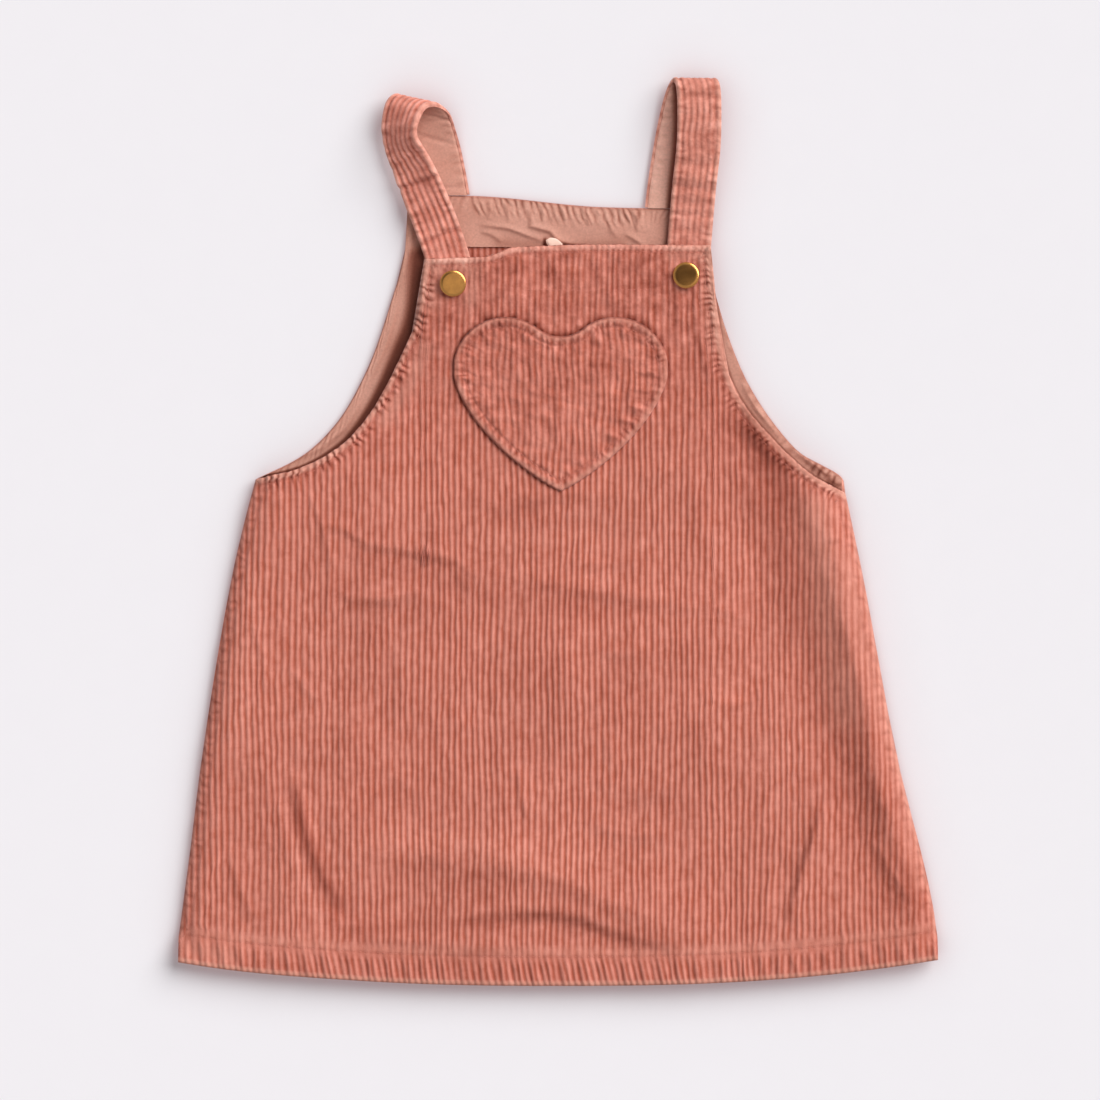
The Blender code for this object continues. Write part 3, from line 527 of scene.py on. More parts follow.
HEM_WAVE_LENGTH = 0.0092
HEM_WAVE_LEAN = 0.15
HEM_SWELL = 0.00025         # how far the cloth swells above the row of stitches
HEM_PRESSED = (0.0105, 0.0130, 0.0175, 0.0205)   # where the fold inside presses the ridges

# Rows of stitches that lie away from any edge.
FACING_ROW = ((-0.0190, 0.1208), (0.0150, 0.1204), (0.0460, 0.1208))
SECOND_ARMHOLE_ROW = ((0.0692, 0.1370), (0.0700, 0.1180), (0.0722, 0.1000), (0.0748, 0.0870))
INNER_ROWS = (FACING_ROW, SECOND_ARMHOLE_ROW)
INNER_ROW_DIP = 0.00030
INNER_ROW_PUCKER = 0.0040
FACING_PUCKER = 0.0036
FACING_SWELL = 0.0006       # how far the facing swells inside the neck's seam
FACING_LOWEST = 0.0006      # how far it may sink below its flat face
# painted shade along the facing's outer edge, standing for its shadow and the back cloth's edge
FACING_EDGE_SHADE = 0.28
FACING_NECK_Y = (0.138, 0.150)      # where its part round the neck starts, in y and sideways
FACING_NECK_X = (0.040, 0.052)
BACK_PUCKER = 0.0040
BACK_GROOVE = 0.00030       # how far its grooves stay off the floor
BACK_EDGE_RISE = 0.0004

HEART_ROW = 0.0048          # topstitching inside the heart's edge
HEART_RIM = 0.0023
HEART_DIP = 0.00025
HEART_PUCKER = 0.0042
HEART_WORN = 0.40
HEART_PULL = 0.55
HEART_PUCKER_REACH = 0.0085
HEART_PUFF = 0.00055        # how far its turned edge puffs up
HEART_OPEN_RISE = 0.0006    # how far its open top edge stands off the bib
HEART_OPEN_Y = (0.088, 0.100)
HEART_GAP_SHADE = 0.64      # how dark the shade painted in the gap along its edge is

STITCH_LENGTH = 0.0024
STITCH_GAP = 0.0006
STITCH_UNEVEN = 0.00008     # how far a stitch may be off its place
STITCH_SEED = 90
THREAD_RADIUS = 0.00017
THREAD_RINGS = 5
THREAD_SIDES = 6
THREAD_ABOVE = 0.30         # how high the thread lies on the ridges, as a share of their height
THREAD_ENDS = 12            # points that a row along a rim leaves free at each end

# Rows of points over the cloth, from an edge inwards. They are close together near it.
HEM_ROWS = np.array((0.0, 0.15, 0.4, 0.8, 1.4, 2.2, 3.2, 4.4, 5.8, 7.4, 9.0, 10.6, 12.0, 13.0,
                     13.8, 14.4, 15.0, 15.8, 16.8, 18.2)) / 1000
EDGE_ROWS = np.array((0.0, 0.12, 0.35, 0.7, 1.2, 1.8, 2.5, 3.2, 3.8, 4.4, 5.1, 6.0, 7.2)) / 1000
STEEPEST = 8.0              # rows follow an edge this steep, and no further
SHORT_COLUMN = 0.42         # most of a short column that the rows at one end may take
HALF_RIDGE_COLUMNS = 2
# How the front's ridges wander: how far, the reach across and along them, and the seed.
WANDER = ((0.00075, 0.035, 0.090, 41), (0.00016, 0.004, 0.012, 42))
FRONT_ROWS = 136            # between the hem's rows and the upper edge's
BACK_ROWS = 30
FACING_ROWS = 56
HEART_ROWS = 112
HEART_COLUMNS = 189         # evenly spaced, over the middle of its width
HEART_EVEN = 0.93           # how much of its half width they take
HEART_ENDS = 0.07           # the rest, where columns get closer together
HEART_END_COLUMNS = 14
THINNEST = 0.0003           # least thickness of a piece where its two faces come close
SHARP_ANGLE = math.radians(62)

# ------------------------ studio
FLOOR_SIZE = 6.0
CAMERA_HEIGHT = 3.2
FRAME_WIDTH = 0.550
FRAME_CENTRE = (-0.0040, -0.00925)
FRAME_PLANE = 0.005         # height at which the frame has that width
SENSOR = 0.036
CAMERA_REACH = 20.0
FLOOR_DROP = 0.0001         # how far the floor's top is below the lowest cloth
KEY_TURN = (0.0, math.radians(50), math.radians(40))
KEY_COLOUR = (1.0, 0.985, 0.975)
SKY_COLOUR = (1.0, 0.985, 1.0, 1.0)
# Things overhead that the snaps mirror: direction, inner and outer radius in degrees, colour.
OVERHEAD = (
    ((-0.12, 0.17, 0.98), 10, 15, (0.16, 0.14, 0.13, 1.0)),
    ((0.12, -0.07, 0.99), 7, 11, (1.6, 1.55, 1.45, 1.0)),
)


# ------------------------ curves and heights
def ramp(value, start, end):
    """A smooth step from 0 at start to 1 at end."""
    share = np.clip((value - start) / (end - start), 0.0, 1.0)
    return share * share * (3 - 2 * share)


def bell(value, middle, half_width):
    """A soft bump that is 1 at its middle."""
    return np.exp(-(((value - middle) / half_width) ** 2))


def pinched(away, steep, gentle):
    """A crease's section: 1 at its line, steep where away is negative and gentle elsewhere."""
    top = 0.4 * steep
    return np.exp(-(np.hypot(away, top) - top) / np.where(away < 0, steep, gentle))


def curve_through(points):
    """y as a smooth function of x through the points, with no overshoot between them."""
    x, y = np.array(points, float).T
    width = np.diff(x)
    slope = np.diff(y) / width
    lean = np.zeros(len(x))
    lean[0], lean[-1] = slope[0], slope[-1]
    for i, (before, after) in enumerate(zip(slope, slope[1:]), start=1):
        if before * after > 0:
            lean[i] = 2 * before * after / (before + after)

    def at(place):
        i = np.clip(np.searchsorted(x, place) - 1, 0, len(width) - 1)
        t = (place - x[i]) / width[i]
        rise = y[i] + t * t * (3 - 2 * t) * (y[i + 1] - y[i])
        bend = t * (1 - t) ** 2 * lean[i] - t * t * (1 - t) * lean[i + 1]
        return rise + width[i] * bend

    return at


def outline_of(edges):
    """The height of an outline that is made of several edges, as a function of x."""
    curves = [curve_through(edge) for edge in edges]
    ends = np.array([edge[-1][0] for edge in edges])

    def at(place):
        place = np.asarray(place, float)
        which = np.clip(np.searchsorted(ends, place), 0, len(edges) - 1)
        return np.choose(which, [curve(place) for curve in curves])

    return at


def hem_y(x):
    """The bottom edge, which bows down between the side seams."""
    share = np.minimum(np.abs(x) / RIGHT_SIDE[-1][0], 1.0)
    lower = HEM_LEFT_DROP * ramp(-np.asarray(x), 0.100, 0.180)
    return HEM_SIDE_Y - HEM_MIDDLE_DROP * (1 - share ** HEM_BOW) - lower


def nearest_on(x, y, path, signed=False):
    """Distance from each point to a line of points, and how far along it the nearest place is.

    A signed distance is negative on the right of the line's direction.
    """
    path = np.asarray(path, float)
    best = np.full(np.shape(x), np.inf)
    along = np.zeros(np.shape(x))
    side = np.ones(np.shape(x))
    walked = 0.0
    for (ax, ay), (dx, dy) in zip(path, np.diff(path, axis=0)):
        length = math.hypot(dx, dy)
        share = np.clip(((x - ax) * dx + (y - ay) * dy) / length ** 2, 0.0, 1.0)
        away = np.hypot(x - ax - share * dx, y - ay - share * dy)
        closer = away < best
        best = np.where(closer, away, best)
        along = np.where(closer, walked + share * length, along)
        if signed:
            turn = np.where(dx * (y - ay) - dy * (x - ax) < 0, -1.0, 1.0)
            side = np.where(closer, turn, side)
        walked += length
    return best * side, along


def walked_along(path):
    """How far along a line of points each of them is."""
    steps = np.linalg.norm(np.diff(path, axis=0), axis=1)
    return np.append(0.0, np.cumsum(steps))


def near_line(x, y, path, reach, signed=False):
    """Which points lie in the box round a line, grown by a reach, and nearest_on for those."""
    low = np.min(path, axis=0) - reach
    high = np.max(path, axis=0) + reach
    near = (x > low[0]) & (x < high[0]) & (y > low[1]) & (y < high[1])
    return near, *nearest_on(x[near], y[near], path, signed)


def drift(x, y, reach_x, reach_y, seed):
    """Smooth noise, mostly between -1 and 1, with bumps about as large as the two reaches."""
    waves = 8
    draw = np.random.default_rng(seed)
    total = np.zeros(np.broadcast(x, y).shape)
    for _ in range(waves):
        turns_x, turns_y = draw.normal(0.0, 0.5, 2)
        start = draw.uniform(0.0, math.tau)
        total += np.sin(math.tau * (turns_x * x / reach_x + turns_y * y / reach_y) + start)
    return total / math.sqrt(waves)


def puckers(along, spacing, seed):
    """Uneven waves between 0 and 1 along a row of stitches."""
    start, slow, slower = np.random.default_rng(seed).uniform(0.0, math.tau, 3)
    wander = 1.1 * np.sin(along / spacing * 0.9 + slow)
    wander = wander + 1.4 * np.sin(along / spacing * 0.37 + slower)
    return (0.5 + 0.5 * np.sin(math.tau * along / spacing + wander + start)) ** 1.5


def crease_marks(x, y, creases):
    """How much the creases lift the cloth, and how they shade it.

    The shade is painted: darker along a crease's steep foot, and lighter along its top.
    """
    total, shade = np.zeros(np.shape(x)), np.zeros(np.shape(x))
    for crease in creases:
        near, away, along = near_line(x, y, crease.points, 5 * crease.gentle, signed=True)
        length = walked_along(crease.points)[-1]
        fade = np.sin(math.pi * np.clip(along / length, 0.0, 1.0)) ** 0.6
        total[near] += crease.rise * fade * pinched(away, crease.steep, crease.gentle)
        foot = bell(away, -0.9 * crease.steep, 0.0005 + 0.7 * crease.steep)
        top = bell(away, 0.4 * crease.gentle, 0.5 * crease.gentle)
        # painted shade along the foot and painted light along the top
        shade[near] += CREASE_SHADE * crease.rise * fade * (0.35 * top - foot)
    return total, shade


def fold_rise(fold, x, y):
    """How much one straight fold lifts or lowers the cloth."""
    turn = math.radians(fold.angle)
    along = (x - fold.x) * math.cos(turn) + (y - fold.y) * math.sin(turn)
    across = (y - fold.y) * math.cos(turn) - (x - fold.x) * math.sin(turn)
    fade = 1 - np.minimum(np.abs(along) / fold.half_length, 1.0) ** 2
    return fold.rise * fade * bell(across, 0.0, fold.half_width)


def front_underside(x, y):
    """Height of the front's inner face above the ground, as the solid has it."""
    seam = CORD_WALL + SEAM_GAP + ramp(y, *UNDERARM_FACING_Y) * (LINING_WALL + SEAM_GAP)
    body = SKIRT_HEIGHT + ramp(y, SKIRT_Y, BIB_Y) * (BIB_HEIGHT - SKIRT_HEIGHT)
    for fold in FRONT_FOLDS:
        body = body + fold_rise(fold, x, y)
    away = np.minimum(nearest_on(x, y, LEFT_SIDE)[0], nearest_on(x, y, RIGHT_SIDE)[0])
    inside = 1 - np.minimum(away / SIDE_ROUND, 1.0)
    return seam + (body - seam) * (1 - inside ** 2) ** SIDE_FULLNESS


def sampled(edge, step=0.0008):
    """The points of an edge's curve, about a step apart in x."""
    count = max(2, round((edge[-1][0] - edge[0][0]) / step) + 1)
    x = np.linspace(edge[0][0], edge[-1][0], count)
    return np.column_stack([x, curve_through(edge)(x)])


def rounded_edge(away):
    """How far a folded edge rounds down at a distance from it."""
    share = np.clip(1 - away / EDGE_ROUND, 0.0, 1.0)
    return -EDGE_ROUND * (1 - np.sqrt(1 - share ** 2))


# A cloth's relief: its rise, how its ridges stand, its shade, which holds painted shade and
# painted light besides the pile's tone, its wear, and the phase along the puckers of the
# nearest row of stitches and how hard it pulls there.
Relief = namedtuple("Relief", "rise ridges shade wear phase pull")


def pulled(away, reach):
    """How hard the stitches along an edge pull the cloth, from 1 beside them to 0 at a reach."""
    return 1 - ramp(away, 0.5 * reach, reach)


def rim_relief(x, y, rims):
    """Relief of the rolled edges and their stitching."""
    rise, shade, wear, phase, pull = (np.zeros(np.shape(x)) for _ in range(5))
    ridges, edge = np.ones(np.shape(x)), np.full(np.shape(x), FAR)
    for rim in rims:
        path = sampled(rim.edge)
        near, away, along = near_line(x, y, path, 3 * rim.row)
        pinch = puckers(along, rim.spacing, rim.seed)
        row = bell(away, rim.row, STITCH_DENT)
        rise[near] += rounded_edge(away)
        rise[near] += rim.puff * bell(away, rim.roll / 2, rim.roll / 2) * (0.3 + 0.7 * pinch)
        rise[near] -= rim.dip * row * (1.0 - DENT_CLOSED * pinch)
        shown = rim.ridges + (1 - rim.ridges) * ramp(away, 0.6 * rim.roll, 1.3 * rim.roll)
        ridges[near] *= shown * (1 - 0.45 * row)
        darker = ROW_SHADE * min(rim.dip / 0.0004, 1.0)
        shade[near] -= darker * bell(away, rim.row, 1.4 * STITCH_DENT) * (1 - pinch)
        wear[near] += rim.worn * (1 - ramp(away, 0.7 * rim.roll, 1.5 * rim.roll))
        nearest = away < edge[near]
        edge[near] = np.where(nearest, away, edge[near])
        lane = 0.3 * ramp(away, 0.7 * rim.roll, 1.2 * rim.roll)
        phase[near] = np.where(nearest, along / rim.spacing + lane + 100 * rim.seed, phase[near])
        held = rim.beaded + (1 - rim.beaded) * ramp(away, 0.6 * rim.roll, 1.2 * rim.roll)
        held *= rim.pull * pulled(away, rim.reach)
        pull[near] = np.where(nearest, held, pull[near])
    return Relief(rise, ridges, shade, wear, phase, pull)


def ragged(x, y):
    """How far the puckers push the armholes' and the neck's edges up or down."""
    shift = np.zeros(np.shape(x))
    for rim in FRONT_RIMS[1:4]:
        path = sampled(rim.edge)
        near, away, along = near_line(x, y, path, rim.row)
        length = walked_along(path)[-1]
        ends = ramp(along, 0.0, 0.006) * (1 - ramp(along, length - 0.006, length))
        pull = puckers(along, rim.spacing, rim.seed) - 0.5
        shift[near] += RAGGED * pull * ends * (1 - ramp(away, 0.0005, 0.0040))
    return shift


def heart_gap(x, y):
    """The front's dip and swell along the heart's edge, and the shade painted in the gap there."""
    near, away, _ = near_line(x, y, heart_outline()[::3], 0.006)
    rise, shade = np.zeros(np.shape(x)), np.zeros(np.shape(x))
    rise[near] = 0.00040 * bell(away, 0.0026, 0.0013) - 0.00035 * bell(away, 0.0, 0.0008)
    shade[near] = -HEART_GAP_SHADE * bell(away, 0.0, 0.0011) * heart_in_shadow(x, y)[near]
    return rise, shade


def heart_in_shadow(x, y):
    """1 at the left of the heart and along its open top, and 0 at its right."""
    left = 1 - ramp(x, HEART_MIDDLE[0] - 0.006, HEART_MIDDLE[0] + 0.004)
    top = ramp(y, HEART_MIDDLE[1] + 0.006, HEART_MIDDLE[1] + 0.016)
    return np.maximum(0.55 * left, top)


def row_relief(x, y, rows, dip, spacing):
    """Dents along rows of stitches that lie away from any edge."""
    rise = np.zeros(np.shape(x))
    for seed, path in enumerate(rows):
        near, away, along = near_line(x, y, path, 4 * STITCH_DENT)
        pinch = puckers(along, spacing, seed)
        rise[near] -= dip * bell(away, 0.0, STITCH_DENT) * (1 - DENT_CLOSED * pinch)
    return rise


def crinkles(x, y):
    """Small uneven crumpling from wash and wear, which is stronger on the bib."""
    bib = ramp(y, 0.000, 0.100)
    return sum((rise + on_bib * bib) * drift(x, y, across, along, seed)
               for rise, on_bib, across, along, seed in CRINKLES)


def hem_relief(x, up):
    """How the turned-up hem lifts and shades the cloth, with its stitches and ripples."""
    pinch = puckers(x, HEM_PUCKER, 21)
    row = bell(up, HEM_ROW, STITCH_DENT)
    ripple = 2 * puckers(x + HEM_WAVE_LEAN * up, HEM_WAVE_LENGTH, 22) - 0.8
    rise = HEM_BULK * (1 - ramp(up, HEM_DEPTH, HEM_DEPTH + HEM_STEP)) + rounded_edge(up)
    rise -= HEM_DIP * row * (1 - DENT_CLOSED * pinch)
    rise += HEM_WAVE * bell(up, HEM_WAVE_MIDDLE, HEM_WAVE_MIDDLE) * ripple
    rise += HEM_SWELL * bell(up, HEM_ROW + 0.003, 0.002) * pinch
    shade = HEM_ROW_LIGHT * bell(up, HEM_ROW + 0.0026, 0.0020) - HEM_ROW_SHADE * row * (1 - pinch)
    shade -= HEM_EDGE_SHADE * (1 - ramp(up, 0.0002, 0.0024))
    shade -= HEM_SHADE * (1 - ramp(up, HEM_DEPTH + 0.0010, HEM_DEPTH + 0.0050))
    return rise, shade


def flattened(ridges, x, y, up, worn):
    """How strongly the front's ridges stand, once pressed, washed and worn."""
    start, full, fading, end = HEM_PRESSED
    pressed = ramp(up, start, full) * (1 - ramp(up, fading, end))
    ridges = ridges * (1 - pressed * (0.45 + 0.20 * drift(x, y, 0.030, 0.030, 24)))
    matted = ramp(y, *BIB_MATTED) * (0.25 + 0.18 * drift(x, y, 0.009, 0.012, 27))
    ridges = ridges * (1 - matted) * (1 - 0.16 * np.abs(drift(x, y, 0.022, 0.030, 28)))
    ridges = ridges * (1 - 0.08 * ramp(np.abs(x), 0.070, 0.120))
    return np.clip(ridges * (1 - 0.6 * np.clip(worn, 0.0, 1.0)), 0.0, 1.0)


def front_surface(x, y):
    """Outer face of the front between its ridges, as a relief above the ground."""
    up = y - hem_y(x)
    rims = rim_relief(x, y, FRONT_RIMS)
    lifted, marked = crease_marks(x, y, FRONT_CREASES)
    hem, hem_shade = hem_relief(x, up)
    worn = banded(x, y, FRONT_WORN)
    height = front_underside(x, y) + CORD_WALL + rims.rise + lifted + hem
    height += row_relief(x, y, INNER_ROWS, INNER_ROW_DIP, INNER_ROW_PUCKER)
    height += crinkles(x, y)
    # the shade is the pile's tone, with painted shade and painted light from the bands and the
    # creases
    shade = rims.shade + brushed(x, y, 46) + banded(x, y, FRONT_PAINTED_SHADE_AND_LIGHT) + marked + hem_shade
    wear = rims.wear + worn + 1 - ramp(up, 0.0008, 0.0036) + 0.15 * bell(up, HEM_ROW + 0.002, 0.003)
    ridges = flattened(rims.ridges, x, y, up, worn)
    return rims._replace(rise=height, ridges=ridges, shade=shade, wear=wear)


def banded(x, y, bands):
    """Soft bands along lines of points, added up."""
    total = np.zeros(np.shape(x))
    for band in bands:
        near, away, _ = near_line(x, y, band.points, 3 * band.half_width)
        total[near] += band.amount * bell(away, 0.0, band.half_width)
    return total


def brushed(x, y, seed):
    """How light the pile looks: random patches, a little darker on the bib and the heart; about 1
    in the skirt.
    """
    shade = 1 + TOP_DARKER * ramp(y, 0.020, 0.090)
    for more, (reach, amount) in enumerate(BRUSHED_PATCHES):
        shade += amount * drift(x, y, reach, 1.3 * reach, seed + more)
    return shade


def ridge_profile(phase):
    """Height of a corduroy ridge, from 0 in each groove to 1 on each crown."""
    return np.abs(np.sin(math.pi * phase)) ** 1.05


def ridge_variation(phase, y, seed):
    """Uneven height along each ridge, a little different on each."""
    draw = np.random.default_rng(seed)
    wale = np.floor(phase).astype(int)
    starts = draw.uniform(0.0, math.tau, (len(RIDGE_WAVES), wale.max() + 1))
    waves = sum(np.sin(math.tau * y / length + start[wale])
                for length, start in zip(RIDGE_WAVES, starts))
    return 1 + RIDGE_UNEVEN * waves


# ------------------------ meshes
def columns_between(corners):
    """x of columns, some for each ridge, with one on each corner, and each one's phase."""
    places = [corners[0]]
    for start, end in zip(corners, corners[1:]):
        count = HALF_RIDGE_COLUMNS * max(1, round((end - start) / (WALE_PITCH / 2)))
        places += list(np.linspace(start, end, count + 1)[1:])
    x = np.array(places)
    return x, np.arange(len(x)) / (2 * HALF_RIDGE_COLUMNS)


def steepness(x, edge_y):
    """How much longer than its width each bit of an edge is, evened out over its neighbours."""
    lean = np.sqrt(1 + np.gradient(edge_y, x) ** 2)
    spread = np.ones(7) / 7
    evened = np.convolve(np.pad(lean, 3, mode="edge"), spread, mode="valid")
    return np.minimum(evened, STEEPEST)


def rows_between(low, high, lean, count):
    """y of every row in every column, close together at both ends."""
    length = high - low
    hem_scale = np.minimum(1.0, SHORT_COLUMN * length / HEM_ROWS[-1])
    edge_scale = np.minimum(lean, SHORT_COLUMN * length / EDGE_ROWS[-1])
    lower = low[:, None] + np.outer(hem_scale, HEM_ROWS)
    upper = high[:, None] - np.outer(edge_scale, EDGE_ROWS[::-1])
    share = np.linspace(0.0, 1.0, count + 2)[1:-1]
    middle = lower[:, -1:] + (upper[:, :1] - lower[:, -1:]) * share
    return np.hstack([lower, middle, upper])


def grid_faces(numbers):
    """Four-sided faces of a grid of point numbers."""
    return np.stack([numbers[:-1, :-1], numbers[1:, :-1], numbers[1:, 1:], numbers[:-1, 1:]],
                    axis=-1).reshape(-1, 4).tolist()


def bridge(first, first_at, second, second_at):
    """Triangles between two rows of point numbers, each with its places along the edge."""
    faces = []
    i, j = 0, 0
    while i < len(first) - 1 or j < len(second) - 1:
        next_first = first_at[i + 1] if i < len(first) - 1 else math.inf
        next_second = second_at[j + 1] if j < len(second) - 1 else math.inf
        if next_first <= next_second:
            faces.append((first[i], first[i + 1], second[j]))
            i += 1
        else:
            faces.append((first[i], second[j + 1], second[j]))
            j += 1
    return faces


def some_of(count, step):
    """Every so many of a count of numbers, with the last one too."""
    return np.unique(np.append(np.arange(0, count, step), count - 1))


def in_columns(values, grid):
    """One value for each column of a grid, the same in all its rows."""
    return np.broadcast_to(values[:, None], grid)


def stacked(grid, *values):
    """Values for each point of a grid, side by side."""
    return np.stack([np.broadcast_to(value, grid) for value in values], axis=-1)


def closed_shell(name, fine, coarse, steps, material, **marks):
    """A thin closed piece: a fine grid of points, and a coarser one on its other face.

    fine and coarse have the same shape, and only some of coarse's columns and rows are used.
    marks are what the material reads on the points, two or three values of each kind: grain is
    the phase across the ridges, the place along them and how they stand, another kind holds the
    shade, which is the pile's tone with painted shade and painted light, and the wear, and sewn
    is the puckers' phase and pull.
    """
    columns, rows = fine.shape[:2]
    kept_columns, kept_rows = some_of(columns, steps[0]), some_of(rows, steps[1])
    fine_numbers = np.arange(columns * rows).reshape(columns, rows)
    coarse_numbers = columns * rows + np.arange(len(kept_columns) * len(kept_rows))
    coarse_numbers = coarse_numbers.reshape(len(kept_columns), len(kept_rows))
    faces = grid_faces(fine_numbers) + grid_faces(coarse_numbers[::-1])
    for end in (0, -1):
        faces += bridge(fine_numbers[end], np.arange(rows), coarse_numbers[end], kept_rows)
        faces += bridge(fine_numbers[:, end], np.arange(columns),
                        coarse_numbers[:, end], kept_columns)
    picked = np.ix_(kept_columns, kept_rows)
    points = np.vstack([fine.reshape(-1, 3), coarse[picked].reshape(-1, 3)])
    for kind, values in marks.items():
        values = stacked((columns, rows), *values, *[0.0] * (3 - len(values)))
        marks[kind] = np.vstack([values.reshape(-1, 3), values[picked].reshape(-1, 3)])
    return made_piece(name, points, faces, material, marks)


def made_piece(name, points, faces, material, marks):
    """A smooth object from points and faces, with its marks stored on its points."""
    data = bpy.data.meshes.new(name)
    data.from_pydata(np.asarray(points, float).tolist(), [], faces)
    mesh = bmesh.new()
    mesh.from_mesh(data)
    bmesh.ops.recalc_face_normals(mesh, faces=mesh.faces)
    mesh.to_mesh(data)
    mesh.free()
    for kind, values in marks.items():
        stored = data.attributes.new(kind, "FLOAT_VECTOR", "POINT")
        stored.data.foreach_set("vector", np.asarray(values, np.float32).ravel())
    data.materials.append(material)
    data.shade_smooth()
    data.set_sharp_from_angle(angle=SHARP_ANGLE)
    return placed(name, data)


def placed(name, data):
    """A new object in the scene, for a mesh, a light or a camera."""
    made = bpy.data.objects.new(name, data)
    bpy.context.scene.collection.objects.link(made)
    return made


def dressed(piece, slot, *nodes):
    """Puts a piece on the body, in place of its solids. Its slot is not used."""
    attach(piece, BODY)
    if nodes:
        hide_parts(*nodes)
    return piece


def strap_rings(stations):
    """Smooth rings along a strap: places, width and outward directions, and lengths."""
    data = np.array(stations, float)
    data = np.vstack([2 * data[0] - data[1], data, 2 * data[-1] - data[-2]])
    path = []
    for a, b, c, d in zip(data, data[1:], data[2:], data[3:]):
        for t in np.arange(STRAP_STEPS) / STRAP_STEPS:
            path.append(0.5 * (2 * b + (c - a) * t + (2 * a - 5 * b + 4 * c - d) * t * t
                               + (3 * b - a - 3 * c + d) * t ** 3))
    path = np.array(path + [data[-2]])
    yaw, lift = np.radians(path[:, 3]), np.radians(path[:, 4])
    lowest = STRAP_WALL + STRAP_WIDTH / 2 * np.abs(np.sin(lift))
    place = np.column_stack([path[:, :2], np.maximum(path[:, 2], lowest)])
    across = np.column_stack([np.cos(lift) * np.cos(yaw), np.cos(lift) * np.sin(yaw), np.sin(lift)])
    out = np.cross(np.gradient(place, axis=0), across)
    out /= np.linalg.norm(out, axis=1, keepdims=True)
    return place, across, out, walked_along(place)


def swept(place, across, out, spread, offset):
    """Points round a strap's rings, from places across its width and distances outwards."""
    return (place[:, None, :] + across[:, None, :] * spread[None, :, None]
            + out[:, None, :] * offset[:, :, None])


def front_run(place):
    """Number of the ring at a strap's top, where its front run starts."""
    return int(np.argmax(place[:, 1]))


def cross_rise(place, length, side, creases, front):
    """Relief of the creases across a strap. They lie on its front or its back run."""
    top = front_run(place)
    run = slice(top, None) if front else slice(0, top)
    order = np.argsort(place[run, 1])
    rise = np.zeros((len(length), len(side)))
    for crease in creases:
        middle = np.interp(crease.y, place[run, 1][order], length[run][order])
        away = length[:, None] - middle - crease.lean * side[None, :]
        rise += crease.rise * bell(away, 0.0, crease.width)
    return rise


def stitch_row(path, seed):
    """Points and faces of a row of stitches that follows a line of points on the cloth."""
    path = np.asarray(path, float)
    walked = walked_along(path)
    count = int(walked[-1] / (STITCH_LENGTH + STITCH_GAP))
    pitch = walked[-1] / count
    draw = np.random.default_rng(seed)
    rings, sides = THREAD_RINGS, THREAD_SIDES
    points, faces = [], []
    for n in range(count):
        ends = n * pitch + np.linspace(0.0, pitch - STITCH_GAP, rings)
        ends = ends + draw.uniform(-1, 1) * STITCH_UNEVEN
        spots = np.column_stack([np.interp(ends, walked, path[:, k]) for k in range(3)])
        along = spots[-1] - spots[0]
        along /= np.linalg.norm(along)
        across = np.cross(along, (0.0, 0.0, 1.0))
        across /= np.linalg.norm(across)
        up = np.cross(across, along)
        for ring, spot in enumerate(spots):
            share = ring / (rings - 1)
            thick = THREAD_RADIUS * (0.35 + 0.65 * math.sin(math.pi * (0.08 + 0.84 * share)))
            sunk = spot + up * (THREAD_RADIUS * (1.6 * math.sin(math.pi * share) - 0.9))
            for side in range(sides):
                turn = math.tau * side / sides
                points.append(sunk + thick * (math.cos(turn) * across + math.sin(turn) * up))
        first = n * rings * sides
        for ring in range(rings - 1):
            for side in range(sides):
                a = first + ring * sides + side
                b = first + ring * sides + (side + 1) % sides
                faces.append((a, b, b + sides, a + sides))
        faces.append(tuple(first + side for side in range(sides)))
        faces.append(tuple(first + (rings - 1) * sides + side for side in range(sides)))
    return points, faces


def inside_of(path, away):
    """A line of points moved to the right of its own direction."""
    step = np.gradient(path, axis=0)
    right = np.column_stack([step[:, 1], -step[:, 0]])
    return path + right / np.linalg.norm(right, axis=1, keepdims=True) * away


def even_line(path, step=0.0004):
    """A line of points with its points evenly spaced."""
    path = np.asarray(path, float)
    walked = walked_along(path)
    places = np.linspace(0.0, walked[-1], max(2, round(walked[-1] / step)))
    return np.column_stack([np.interp(places, walked, path[:, k]) for k in range(2)])


# ------------------------ the heart's outline
def heart_lower(x):
    """y of the heart's lower edge, down to its point."""
    reach = HEART_LOBE_OFFSET + HEART_LOBE_RADIUS
    out = np.minimum(np.abs(x - HEART_MIDDLE[0]) / reach, 1.0)
    depth = HEART_MIDDLE[1] - HEART_POINT_Y
    return HEART_MIDDLE[1] - depth * (1 - out ** HEART_SIDE_START) ** HEART_SIDE_END


def heart_upper(x):
    """y of the heart's upper edge, over its two lobes and into the cleft."""
    out = np.abs(x - HEART_MIDDLE[0])
    from_lobe = np.maximum(out, HEART_CLEFT_HALF) - HEART_LOBE_OFFSET
    lobe = np.sqrt(np.maximum(HEART_LOBE_RADIUS ** 2 - from_lobe ** 2, 0.0))
    into_cleft = np.maximum(1 - (out / HEART_CLEFT_HALF) ** 2, 0.0)
    return HEART_MIDDLE[1] + lobe - HEART_CLEFT_DROP * into_cleft


def heart_outline():
    """The heart's edge, all round from its point and back, clockwise."""
    turn = np.linspace(0.0, math.pi, 121)
    x = HEART_MIDDLE[0] - HEART_REACH * np.cos(turn)
    left_half = x <= HEART_MIDDLE[0]
    lower = np.column_stack([x, heart_lower(x)])
    upper = np.column_stack([x, heart_upper(x)])
    return np.vstack([lower[left_half][::-1], upper, lower[~left_half][::-1]])


